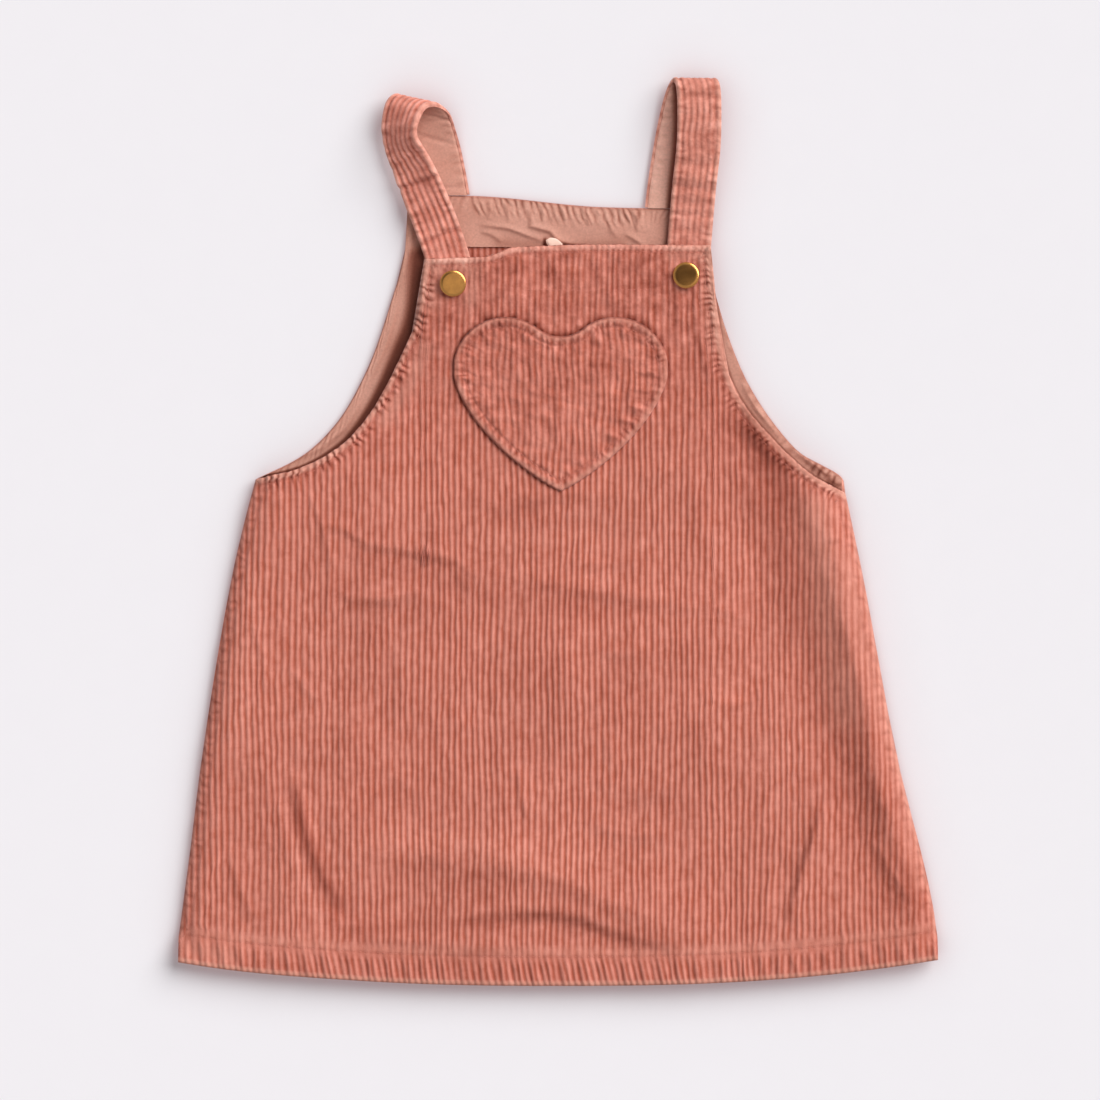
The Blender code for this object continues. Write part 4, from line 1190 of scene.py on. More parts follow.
# ------------------------ materials
class Nodes:
    """A tree of nodes, each made and linked in one call."""

    def __init__(self, tree):
        self.tree = tree

    def node(self, kind, inputs=(), **settings):
        """A new node, with what it is set to and what goes into it."""
        made = self.tree.nodes.new(kind)
        for key, value in settings.items():
            setattr(made, key, value)
        for socket, value in dict(inputs).items():
            self.feed(made.inputs[socket], value)
        return made

    def feed(self, socket, value):
        """Links another node's output to a socket, or sets the socket to a value."""
        if isinstance(value, bpy.types.NodeSocket):
            self.tree.links.new(value, socket)
        else:
            socket.default_value = value

    def math(self, operation, *values):
        """The result of one operation."""
        return self.node("ShaderNodeMath", enumerate(values), operation=operation).outputs[0]

    def times(self, first, second):
        """The product of two values."""
        return self.math("MULTIPLY", first, second)

    def plus(self, first, second):
        """The sum of two values."""
        return self.math("ADD", first, second)

    def vector(self, *values):
        """A vector of up to three values."""
        return self.node("ShaderNodeCombineXYZ", enumerate(values)).outputs[0]

    def noise(self, vector, scale, detail=2.0, roughness=0.5):
        """Cloudy noise between 0 and 1, with so many bumps to the metre."""
        made = self.node("ShaderNodeTexNoise", {
            "Vector": vector, "Scale": scale, "Detail": detail, "Roughness": roughness})
        return made.outputs["Fac"]

    def span(self, value, low, high, to_low, to_high):
        """A value moved from one range to another, and kept inside it."""
        made = self.node("ShaderNodeMapRange", {
            "Value": value, "From Min": low, "From Max": high, "To Min": to_low, "To Max": to_high})
        return made.outputs["Result"]

    def ranged(self, noise, low, high):
        """Noise, moved from the range that most of it takes to another one."""
        return self.span(noise, *NOISE_RANGE, low, high)

    def mix(self, share, first, second, **settings):
        """A colour between two others."""
        made = self.node("ShaderNodeMix", {0: share, 6: first, 7: second},
                         data_type="RGBA", **settings)
        return made.outputs[2]


class Shading(Nodes):
    """One material's nodes."""

    def __init__(self, name):
        self.material = bpy.data.materials.new(name)
        self.material.use_nodes = True
        super().__init__(self.material.node_tree)
        self.shader = self.tree.nodes["Principled BSDF"]

    def place(self):
        """The shaded point's place on the garment, in metres."""
        return self.node("ShaderNodeTexCoord").outputs["Object"]

    def marks(self, kind):
        """The three values of a kind that the points carry."""
        stored = self.node("ShaderNodeAttribute", attribute_name=kind).outputs["Vector"]
        return self.node("ShaderNodeSeparateXYZ", {0: stored}).outputs[:3]

    def tinted(self, colour, *parts):
        """A colour whose red, green and blue are multiplied."""
        tint = self.node("ShaderNodeCombineColor", enumerate(parts)).outputs[0]
        return self.mix(1.0, colour, tint, blend_type="MULTIPLY")

    def brighten(self, colour, factor):
        """A colour made lighter or darker, with no change of hue."""
        return self.tinted(colour, factor, factor, factor)

    def shaded(self, colour, shade):
        """A colour made darker and redder, or lighter and paler, as dyed cotton looks."""
        return self.tinted(colour, *(self.math("POWER", shade, depth) for depth in SHADE_DEPTHS))

    def puckers(self, place):
        """Height of the puckers that rows of stitches pull into the cloth, and their painted shade
        and light.
        """
        phase, pull, _ = self.marks("sewn")
        wander = self.times(self.noise(self.vector(phase), 0.35, 0.5), 1.3)
        wander = self.plus(wander, self.times(self.noise(place, 170.0, 0.5), 0.9))
        wave = self.math("SINE", self.times(self.plus(phase, wander), math.pi))
        crest = self.math("POWER", self.math("ABSOLUTE", wave), 1.3)
        valley = self.math("SUBTRACT", 1.0, crest)
        uneven = self.span(self.noise(place, 150.0), 0.36, 0.62, 0.15, 1.30)
        held = self.times(pull, uneven)
        shade = self.plus(self.times(crest, PUCKER_LIGHT), self.times(valley, -PUCKER_SHADE))
        shade = self.plus(self.times(shade, held), 1.0)
        return self.times(held, crest), shade

    def bump(self, height, distance, strength, below=None):
        """A normal that shows a height as relief, on top of the relief below it."""
        inputs = {"Height": height, "Distance": distance, "Strength": strength}
        if below is not None:
            inputs["Normal"] = below
        return self.node("ShaderNodeBump", inputs).outputs["Normal"]

    def finish(self, colour, roughness, normal, plain):
        """The material, once its shader has these and its plain values."""
        self.feed(self.shader.inputs["Base Color"], colour)
        self.feed(self.shader.inputs["Roughness"], roughness)
        self.feed(self.shader.inputs["Normal"], normal)
        for name, value in plain.items():
            self.shader.inputs[name].default_value = value
        return self.material


NOISE_RANGE = (0.3, 0.7)
# Bumps to the metre: cut pile, matted pile, what differs along each ridge, and broad patches.
PILE_GRAIN, MATTED_GRAIN, RIDGE_GRAIN, BROAD_GRAIN = 2600.0, 200.0, 150.0, 14.0
PILE_STRETCH = 0.45         # the pile's bumps are longer along the ridges
RIDGES_APART = 7.31         # keeps the noise of one ridge clear of its neighbours'
NO_RIDGE = (0.62, 0.62, 0.62, 1.0)     # brightness of the pile where no ridge stands
MATTED_BIB = (0.02, 0.12)   # y over which matting grows up the bib


def solid(colour):
    """A colour with nothing see-through in it."""
    return (*colour, 1.0)


def made_once(recipe):
    """Makes a recipe give back the material it made before, if there is one."""

    def give(name, settings):
        return bpy.data.materials.get(name) or recipe(name, settings)

    return give


@made_once
def corduroy_material(name, cord):
    """Cut pile on round ridges: lighter, worn crowns over grooves darkened with painted shade."""
    s = Shading(name)
    phase, run, ridges = s.marks("grain")
    wave = s.math("COSINE", s.times(phase, math.tau))
    crown = s.math("MULTIPLY_ADD", wave, -0.5, 0.5)
    shown = s.mix(ridges, NO_RIDGE, s.math("POWER", crown, 1.12))
    apart = s.times(s.math("FLOOR", phase), RIDGES_APART)
    along = s.noise(s.vector(apart, run), RIDGE_GRAIN, 3.0)
    across = s.times(phase, WALE_PITCH)
    pile = s.noise(s.vector(across, s.times(run, PILE_STRETCH)), PILE_GRAIN, 3.0, 0.6)
    place = s.place()
    broad = s.noise(place, BROAD_GRAIN, 3.0)
    share = s.plus(s.node("ShaderNodeSeparateColor", {0: shown}).outputs[0],
                   s.ranged(along, -0.24, 0.24))
    share = s.plus(share, s.ranged(pile, -0.14, 0.14))
    share = s.node("ShaderNodeClamp", {0: share}).outputs[0]
    # the dark grooves and light crowns are partly painted shade and light, partly the crowns' worn
    # pile
    colour = s.mix(share, solid(cord.groove_colour), solid(cord.crown_colour))
    # the first of these values is the pile's tone with painted shade and painted light
    shade, wear, _ = s.marks("nap")
    colour = s.mix(wear, colour, solid(cord.worn_colour))
    colour = s.brighten(colour, s.ranged(broad, 0.95, 1.05))
    y = s.node("ShaderNodeSeparateXYZ", {0: place}).outputs[1]
    up_bib = s.span(y, *MATTED_BIB, 0.25, 1.0)
    matted = s.ranged(s.noise(place, MATTED_GRAIN, 4.0, 0.6), -0.21, 0.21)
    matted = s.times(matted, up_bib)
    pucker, pucker_shade = s.puckers(place)
    shade = s.times(s.plus(shade, matted), pucker_shade)
    colour = s.shaded(colour, shade)
    round_ridge = s.times(s.math("POWER", crown, 0.7), ridges)
    normal = s.bump(round_ridge, 0.00045, cord.ridge_bump)
    normal = s.bump(pucker, 0.00034, 0.7, normal)
    normal = s.bump(s.noise(place, 150.0, 4.0), 0.0021, s.times(up_bib, 0.5), normal)
    normal = s.bump(pile, 0.00022, cord.pile_bump, normal)
    return s.finish(colour, 0.92, normal, {
        "Sheen Weight": cord.sheen, "Sheen Roughness": 0.45, "Specular IOR Level": 0.18})


@made_once
def lining_material(name, lining):
    """Plain cotton: a fine even weave with soft wear."""
    s = Shading(name)
    place = s.place()
    parts = s.node("ShaderNodeSeparateXYZ", {0: place})
    turns = math.tau / lining.thread_pitch
    warp = s.math("SINE", s.times(parts.outputs[0], turns))
    weft = s.math("SINE", s.times(parts.outputs[1], turns))
    weave = s.times(warp, weft)
    slub = s.noise(place, 900.0, 3.0)
    cloud = s.noise(place, 45.0, 4.0)
    colour = s.mix(s.ranged(cloud, 0.0, 1.0), solid(lining.shade_colour),
                   solid(lining.colour))
    colour = s.brighten(colour, s.ranged(slub, 0.91, 1.07))
    pucker, pucker_shade = s.puckers(place)
    # the stored shade is painted shade and painted light
    colour = s.shaded(colour, s.times(s.marks("nap")[0], pucker_shade))
    normal = s.bump(pucker, 0.00055, 0.8)
    normal = s.bump(weave, 0.00006, 0.5, normal)
    normal = s.bump(s.noise(place, 260.0, 3.0), 0.00025, 0.35, normal)
    return s.finish(colour, 0.88, normal, {
        "Sheen Weight": 0.10, "Sheen Roughness": 0.5, "Specular IOR Level": 0.2})


@made_once
def thread_material(name, cord):
    """Sewing thread of two plies, a little lighter than the cloth."""
    s = Shading(name)
    place = s.place()
    twist = s.node("ShaderNodeTexWave", {"Vector": place, "Scale": 900.0, "Distortion": 1.0},
                   bands_direction="DIAGONAL").outputs["Fac"]
    colour = s.mix(twist, solid(cord.groove_colour), solid(cord.crown_colour))
    return s.finish(colour, 0.75, s.bump(twist, 0.00008, 0.5), {"Specular IOR Level": 0.3})


@made_once
def brass_material(name, trim):
    """Antique brass: fine scratches, and darker where it tarnishes."""
    s = Shading(name)
    place = s.place()
    tarnish = s.noise(place, 420.0, 4.0)
    grime = s.noise(place, 130.0, 2.0)
    scratch = s.node("ShaderNodeMapping", {"Vector": place, "Scale": (300.0, 5200.0, 300.0)},
                     vector_type="POINT").outputs[0]
    marks = s.noise(scratch, 1.0, 2.0)
    colour = s.mix(s.span(tarnish, 0.35, 0.75, 0.0, 0.55), solid(trim.brass_colour),
                   solid(trim.tarnish_colour))
    rough = s.ranged(grime, 0.17, 0.26)
    return s.finish(colour, rough, s.bump(marks, 0.00002, 0.4), {"Metallic": 1.0})


@made_once
def label_material(name, trim):
    """Woven satin ribbon with a fine cross rib."""
    s = Shading(name)
    place = s.place()
    rib = s.node("ShaderNodeTexWave", {"Vector": place, "Scale": 620.0, "Distortion": 0.6},
                 bands_direction="Y").outputs["Fac"]
    cloud = s.noise(place, 300.0, 2.0)
    colour = s.brighten(solid(trim.label_colour), s.ranged(cloud, 0.96, 1.03))
    return s.finish(colour, 0.55, s.bump(rib, 0.00005, 0.5), {"Sheen Weight": 0.40})


@made_once
def floor_material(name, studio):
    """Pale floor, with painted shadow and a painted glow of the cloth's light close beside the
    dress.
    """
    s = Shading(name)
    place = s.place()
    grain = s.noise(place, 60.0, 3.0)
    colour = s.brighten(solid(studio.floor_colour), s.ranged(grain, 0.997, 1.003))
    open_sky = s.node("ShaderNodeAmbientOcclusion", {"Distance": 0.030}).outputs["AO"]
    beside = s.span(open_sky, 0.3, 1.0, 1.0, 0.0)
    # painted shadow: the floor is darker close beside the dress
    colour = s.brighten(colour, s.span(beside, 0.0, 1.0, 1.0, 0.27))
    # painted light: the floor glows close beside the dress, though it is no lamp
    s.feed(s.shader.inputs["Emission Color"], s.brighten(solid(studio.painted_bounce_colour), beside))
    return s.finish(colour, 0.9, s.bump(grain, 0.0001, 0.05), {
        "Specular IOR Level": 0.1, "Emission Strength": 1.0})


# ------------------------ settings
def colour_property(name, description, default):
    """A colour that a user may change."""
    return bpy.props.FloatVectorProperty(
        name=name, description=description, subtype="COLOR", size=3, min=0.0, max=1.0,
        default=default)


def share_property(name, description, default):
    """A share between 0 and 1 that a user may change."""
    return bpy.props.FloatProperty(
        name=name, description=description, subtype="FACTOR", min=0.0, max=1.0, default=default)


def length_property(name, description, default):
    """A length that a user may change."""
    return bpy.props.FloatProperty(
        name=name, description=description, unit="LENGTH", subtype="DISTANCE",
        precision=5, min=0.0, default=default)


class CorduroySettings(bpy.types.PropertyGroup):
    """The corduroy's colours and relief."""

    # Crown and groove colours differ partly as painted light and shade, partly as the crowns' wear.
    crown_colour: colour_property(
        "Crown", "Colour on the ridges, where the pile is worn", (0.676, 0.255, 0.195))
    groove_colour: colour_property(
        "Groove", "Colour deep between the ridges", (0.405, 0.096, 0.056))
    worn_colour: colour_property(
        "Worn", "Colour where the pile is worn off, along edges", (0.660, 0.315, 0.240))
    ridge_rise: length_property("Ridge height", "Height of the ridges above the grooves", WALE_RISE)
    ridge_bump: share_property("Ridge bump", "How much rounder the finish makes the ridges", 0.55)
    pile_bump: share_property("Pile bump", "How rough the cut pile is", 0.50)
    sheen: share_property("Sheen", "How much light the pile catches at its edges", 0.22)


class LiningSettings(bpy.types.PropertyGroup):
    """The plain cotton's colours and weave."""

    colour: colour_property("Colour", "Colour of the lining", (0.640, 0.322, 0.246))
    shade_colour: colour_property("Shade", "Colour of its duller patches", (0.580, 0.276, 0.205))
    thread_pitch: length_property("Thread pitch", "Spacing of the weave's threads", 0.0005)


class TrimSettings(bpy.types.PropertyGroup):
    """Colours of the snaps and the label."""

    brass_colour: colour_property("Brass", "Colour of the snap caps", (0.800, 0.385, 0.110))
    tarnish_colour: colour_property("Tarnish", "Colour where the brass tarnishes",
                                    (0.560, 0.260, 0.080))
    label_colour: colour_property("Label", "Colour of the blank label", (1.000, 0.690, 0.560))


class StudioSettings(bpy.types.PropertyGroup):
    """Floor, light and camera."""

    floor_colour: colour_property("Floor", "Colour of the floor", (0.828, 0.813, 0.843))
    # painted glow on the floor beside the dress
    painted_bounce_colour: colour_property(
        "Bounce", "Light that the dress throws on the floor beside it", (0.410, 0.290, 0.302))
    key_strength: bpy.props.FloatProperty(
        name="Key light", description="Strength of the soft light from the upper right",
        min=0.0, default=3.28)
    fill_strength: bpy.props.FloatProperty(
        name="Fill light", description="Strength of the light from all round",
        min=0.0, default=0.412)
    key_softness: bpy.props.FloatProperty(
        name="Softness", description="Width of the light, as an angle seen from the floor",
        subtype="ANGLE", default=math.radians(50))
    camera_height: length_property("Camera height", "Height of the camera above the floor",
                                   CAMERA_HEIGHT)


# ------------------------ operators
class PINAFORE_OT_front(bpy.types.Operator):
    """Bib and skirt in one, with ridges, creases, hem and sewn edges"""

    bl_idname = "pinafore.front"
    bl_label = "Front"

    def execute(self, context):
        cord = context.scene.pinafore_corduroy
        corners = [edge[0][0] for edge in FRONT_EDGES] + [RIGHT_SIDE[-1][0]]
        x, phase = columns_between(corners)
        low, high = hem_y(x), outline_of(FRONT_EDGES)(x)
        y = rows_between(low, high, steepness(x, high), FRONT_ROWS)
        x, phase = in_columns(x, y.shape), in_columns(phase, y.shape)
        x, y = wandering(x, y, low)
        y = y + ragged(x, y)
        outer = front_surface(x, y)
        # gap is the shade painted in the gap along the heart's edge
        dip, gap = heart_gap(x, y)
        height = outer.rise + dip
        lift = ridge_profile(phase) * ridge_variation(phase, y, 31)
        fine = stacked(y.shape, x, y, height + cord.ridge_rise * outer.ridges * lift)
        coarse = stacked(y.shape, x, y, np.minimum(front_underside(x, y), height - THINNEST))
        piece = closed_shell("front_cloth", fine, coarse, (8, 6),
                             corduroy_material("wale_cloth", cord),
                             grain=(phase, y, outer.ridges),
                             nap=(outer.shade + gap, outer.wear),
                             sewn=(outer.phase, outer.pull))
        dressed(piece, "corduroy", "front_panel")
        return {"FINISHED"}


def wandering(x, y, low):
    """Moves the columns sideways a little, as the ridges wander between the sewn edges."""
    fixed = np.ones(y.shape)
    for edge in (LEFT_SIDE, LEFT_ARMHOLE, RIGHT_ARMHOLE, RIGHT_SIDE):
        path = sampled(edge, 0.002)
        fixed = np.minimum(fixed, ramp(nearest_on(x, y, path)[0], 0.0005, 0.012))
    up = y - low[:, None]
    shift = sum(most * drift(x, y, across, along, seed) for most, across, along, seed in WANDER)
    fixed *= ramp(RIGHT_SIDE[-1][0] - np.abs(x), 0.0005, 0.012)
    in_hem = 1 - ramp(up, 0.010, 0.018)
    leaning = ramp(x, -0.150, -0.120) * (1 - ramp(x, 0.045, 0.080))
    lean = (0.0150 - up) * (0.02 + 0.14 * leaning + 0.05 * drift(x, 0.0, 0.040, 1.0, 43))
    shift += in_hem * lean
    shift += 0.00028 * bell(up, 0.017, 0.003) * drift(x, y, 0.006, 0.006, 44)
    moved = x + shift * fixed
    return moved, y + (hem_y(moved) - hem_y(x)) * (1 - ramp(up, 0.0, 0.020))


class PINAFORE_OT_back(bpy.types.Operator):
    """Back panel, with its ridges pressed flat on the floor"""

    bl_idname = "pinafore.back"
    bl_label = "Back"

    def execute(self, context):
        cord = context.scene.pinafore_corduroy
        corners = [edge[0][0] for edge in BACK_EDGES] + [RIGHT_SIDE[-1][0]]
        x, phase = columns_between(corners)
        low, high = hem_y(x) + BACK_HEM_SHORT, outline_of(BACK_EDGES)(x)
        y = rows_between(low, high, steepness(x, high), BACK_ROWS)
        x, phase = in_columns(x, y.shape), in_columns(phase, y.shape)
        groove = BACK_GROOVE * (1 - ridge_profile(phase))
        edge = np.minimum(high[:, None] - y, y - low[:, None])
        round_up = BACK_EDGE_RISE * (1 - ramp(edge, 0.0, 0.0010))
        fine = stacked(y.shape, x, y, groove + round_up)
        coarse = stacked(y.shape, x, y, CORD_WALL)
        wear = 0.6 * (1 - ramp(edge, 0.0005, 0.0030))
        piece = closed_shell("back_cloth", fine, coarse, (4, 6),
                             corduroy_material("wale_cloth", cord),
                             grain=(phase, y, 1.0), nap=(brushed(x, y, 35), wear),
                             sewn=(x / BACK_PUCKER, 0.3 * pulled(edge, 0.008)))
        dressed(piece, "corduroy", "back_panel")
        return {"FINISHED"}


class PINAFORE_OT_facing(bpy.types.Operator):
    """Plain facing round the back neck and both armholes"""

    bl_idname = "pinafore.facing"
    bl_label = "Facing"

    def execute(self, context):
        lining = context.scene.pinafore_lining
        corners = [FACING_LOWER[0][0], BACK_NECK[0][0], BACK_NECK[-1][0], FACING_LOWER[-1][0]]
        x, _ = columns_between(corners)
        low = curve_through(FACING_LOWER)(x)
        high = outline_of(BACK_EDGES)(x) - SEAM_GAP
        y = low[:, None] + (high - low)[:, None] * np.linspace(0.0, 1.0, FACING_ROWS)
        x = in_columns(x, y.shape)
        relief = facing_relief(x, y, high[:, None] - y)
        floor = CORD_WALL + SEAM_GAP
        fine = stacked(y.shape, x, y, floor + LINING_WALL + relief.rise)
        coarse = stacked(y.shape, x, y, floor)
        piece = closed_shell("facing_cloth", fine, coarse, (6, 8),
                             lining_material("plain_cotton", lining),
                             nap=(relief.shade, 0.0), sewn=(relief.phase, relief.pull))
        dressed(piece, "lining", "back_facing")
        return {"FINISHED"}


def facing_relief(x, y, away):
    """Relief of the facing, above its own flat outer face."""
    neck = ramp(y, *FACING_NECK_Y) * (1 - ramp(np.abs(x), *FACING_NECK_X))
    rise, marked = crease_marks(x, y, FACING_CREASES)
    rise -= 0.0002
    rise += FACING_SWELL * neck * bell(away, 0.009, 0.008)
    rise += 0.00010 * drift(x, y, 0.014, 0.014, 52)
    rise += 0.6 * rounded_edge(away)
    rise = np.maximum(rise, -FACING_LOWEST)
    # painted shade from the bands, the creases and the outer edge
    shade = banded(x, y, FACING_PAINTED_SHADE) + 2.2 * marked
    shade -= FACING_EDGE_SHADE * bell(away, 0.0002, 0.0007)
    # painted shadow of the armholes' edges, where the facing goes in under them
    for edge, reaches, amount, inside in (
            (LEFT_ARMHOLE, LEFT_SHADE_REACH, LEFT_SHADE, x < LEFT_ARMHOLE[-1][0]),
            (RIGHT_ARMHOLE, RIGHT_SHADE_REACH, RIGHT_SHADE, x > RIGHT_ARMHOLE[0][0])):
        apart, _ = nearest_on(x, y, sampled(edge))
        reach = np.interp(y, *np.transpose(reaches))
        shade -= amount * (1 - ramp(apart, 0.5 * reach, 1.2 * reach)) * inside
    pull = 0.35 + 0.35 * neck + 0.6 * ramp(x, 0.122, 0.132)
    pull *= pulled(away, 0.0085 + 0.0035 * neck)
    lean = 0.45 - 0.80 * neck
    return Relief(rise, 0.0, 1 + shade, 0.0, (x + lean * away) / FACING_PUCKER, pull)


class PINAFORE_OT_heart(bpy.types.Operator):
    """Heart-shaped patch pocket with a turned edge and topstitching"""

    bl_idname = "pinafore.heart"
    bl_label = "Heart pocket"

    def execute(self, context):
        cord = context.scene.pinafore_corduroy
        x, y = heart_grid()
        phase = (x + 1.0) / WALE_PITCH + 0.14 * drift(x, y, 0.030, 0.030, 61)
        phase = phase + 0.08 * drift(x, y, 0.007, 0.010, 68)
        phase = phase - math.floor(phase.min())
        patch = heart_relief(x, y)
        base = front_surface(x, y).rise + WALE_RISE + SEAM_GAP
        lift = cord.ridge_rise * patch.ridges * ridge_profile(phase)
        lift *= ridge_variation(phase, y, 64)
        fine = stacked(y.shape, x, y, base + LINING_WALL + patch.rise + lift)
        coarse = stacked(y.shape, x, y, np.minimum(base, fine[..., 2] - THINNEST))
        piece = closed_shell("heart_cloth", fine, coarse, (6, 8),
                             corduroy_material("wale_cloth", cord),
                             grain=(phase, y, patch.ridges), nap=(patch.shade, patch.wear),
                             sewn=(patch.phase, patch.pull))
        dressed(piece, "corduroy", "heart_pocket")
        return {"FINISHED"}


def heart_grid():
    """x and y of the heart's points, which are closer together near its sides and edges."""
    inner = np.linspace(-HEART_EVEN, HEART_EVEN, HEART_COLUMNS)
    outer = 1 - HEART_ENDS * (1 - np.linspace(0.0, 1.0, HEART_END_COLUMNS)[1:]) ** 2
    x = HEART_MIDDLE[0] + HEART_REACH * np.concatenate([-outer[::-1], inner, outer])
    low, high = heart_lower(x), heart_upper(x)
    even = np.linspace(0.0, 1.0, HEART_ROWS)
    rows = 0.6 * even + 0.4 * (0.5 - 0.5 * np.cos(math.pi * even))
    y = low[:, None] + (high - low)[:, None] * rows
    return in_columns(x, y.shape), y


def heart_relief(x, y):
    """Relief of the patch, above its own flat outer face."""
    away, along = nearest_on(x, y, heart_outline())
    pinch = puckers(along, HEART_PUCKER, 62)
    row = bell(away, HEART_ROW, STITCH_DENT)
    lifted, marked = crease_marks(x, y, HEART_CREASES)
    rise = rounded_edge(away) + HEART_PUFF * bell(away, HEART_RIM * 0.7, HEART_RIM * 0.7)
    rise -= HEART_DIP * row * (1 - 0.3 * pinch)
    rise += 0.00035 * bell(away, 0.0072, 0.0032) * (2 * puckers(along, 0.0100, 65) - 0.7)
    rise += 0.00018 * drift(x, y, 0.0100, 0.0060, 63) + lifted
    rise += HEART_OPEN_RISE * ramp(y, *HEART_OPEN_Y) * (1 - ramp(away, 0.0, 0.010))
    ridges = 0.55 + 0.45 * ramp(away, 0.5 * HEART_RIM, 1.5 * HEART_RIM)
    ridges *= (1 - 0.45 * row) * (0.70 + 0.10 * drift(x, y, 0.012, 0.012, 66))
    shade = brushed(x, y, 67) - 0.3 * ROW_SHADE * row + marked
    shade += 0.05 * drift(x, y, 0.012, 0.010, 69)
    # painted shade along the heart's own edge, where it lies in shadow
    shade -= 0.45 * (1 - ramp(away, 0.0003, 0.0010)) * heart_in_shadow(x, y)
    wear = HEART_WORN * (1 - ramp(away, 0.6 * HEART_RIM, 1.6 * HEART_RIM))
    pull = HEART_PULL * pulled(away, HEART_PUCKER_REACH)
    pull *= 0.4 + 0.6 * ramp(away, 0.5 * HEART_RIM, 1.2 * HEART_RIM)
    return Relief(rise, ridges, shade, wear, along / HEART_PUCKER, pull)


class PINAFORE_OT_straps(bpy.types.Operator):
    """Both straps: corduroy with rolled edges, and a plain lining inside"""

    bl_idname = "pinafore.straps"
    bl_label = "Straps"

    def execute(self, context):
        cord = context.scene.pinafore_corduroy
        lining = context.scene.pinafore_lining
        for side, stations, creases, lining_creases in (
                ("left", LEFT_STRAP, LEFT_STRAP_CREASES, LEFT_LINING_CREASES),
                ("right", RIGHT_STRAP, RIGHT_STRAP_CREASES, RIGHT_LINING_CREASES)):
            rings = strap_rings(stations)
            piece = strap_cord(side, rings, creases, cord)
            dressed(piece, "corduroy", f"strap_{side}")
            piece = strap_lining(side, rings, lining_creases, lining)
            dressed(piece, "lining", f"strap_lining_{side}")
        return {"FINISHED"}


def strap_cord(side, rings, creases, cord):
    """The corduroy face of one strap, with its edges rolled to the inside."""
    place, across, out, length = rings
    half = STRAP_WIDTH / 2
    edge = EDGE_ROWS[:5]
    inside = half - STRAP_INNER_EDGE
    inner = np.linspace(-inside, inside, STRAP_COLUMNS)
    spread = np.concatenate([-half + edge, inner, half - edge[::-1]])
    away = half - np.abs(spread)
    along, over = length[:, None], spread[None, :]
    share = along / length[-1]
    fade = ramp(share, *STRAP_RIDGES_IN) * (1 - ramp(share, *STRAP_RIDGES_OUT))
    wander = STRAP_WANDER * drift(over, along, 0.030, 0.030, 71)
    kink = STRAP_KINK * bell(along, length[front_run(place)] + 0.030, 0.007)
    phase = (over + half) / (STRAP_WIDTH / STRAP_WALES) + wander + kink + 1.0
    pinch = puckers(along, STRAP_PUCKER, 72)
    plain = 1 - ramp(away, 0.6 * STRAP_RIM, 1.4 * STRAP_RIM)[None, :]
    worn = 0.14 * drift(over, along, 0.010, 0.014, 75)
    ridges = STRAP_RIDGES[side] + worn - (STRAP_RIDGES[side] - 0.12) * plain
    creased = cross_rise(place, length, spread, creases, True)
    rise = creased + rounded_edge(away)[None, :]
    rise -= STRAP_DIP * bell(away, STRAP_RIM * 1.35, 0.0007)[None, :] * (1 - 0.5 * pinch)
    rise += STRAP_PUFF * bell(away, STRAP_RIM * 0.7, 0.0009)[None, :]
    rise += STRAP_CRUMPLE * drift(over, along, 0.012, 0.012, 73)
    lift = cord.ridge_rise * ridge_profile(phase) * ridge_variation(phase, along, 74)
    offset = STRAP_WALL + fade * (rise + lift * ridges) + (1 - fade) * rounded_edge(away)[None, :]
    under = np.where(away < STRAP_TURN_UNDER, -SEAM_GAP - 0.7 * LINING_WALL, 0.0)
    fine = swept(place, across, out, spread, offset)
    fine[..., 2] = np.maximum(fine[..., 2], 0.0)
    coarse = swept(place, across, out, spread, np.broadcast_to(under, offset.shape))
    # painted shade in the creases
    shade = 1 + STRAP_LIGHTENED[side] + 0.5 * worn + STRAP_CREASE_SHADE * creased
    return closed_shell(f"strap_cloth_{side}", fine.swapaxes(0, 1), coarse.swapaxes(0, 1), (1, 3),
                        corduroy_material("wale_cloth", cord),
                        grain=(phase.T, along.T, ridges.T),
                        nap=(shade.T, STRAP_WORN[side] + 0.5 * plain.T),
                        sewn=(along.T / STRAP_PUCKER, 0.4 * pulled(away, 0.0070)[:, None]))


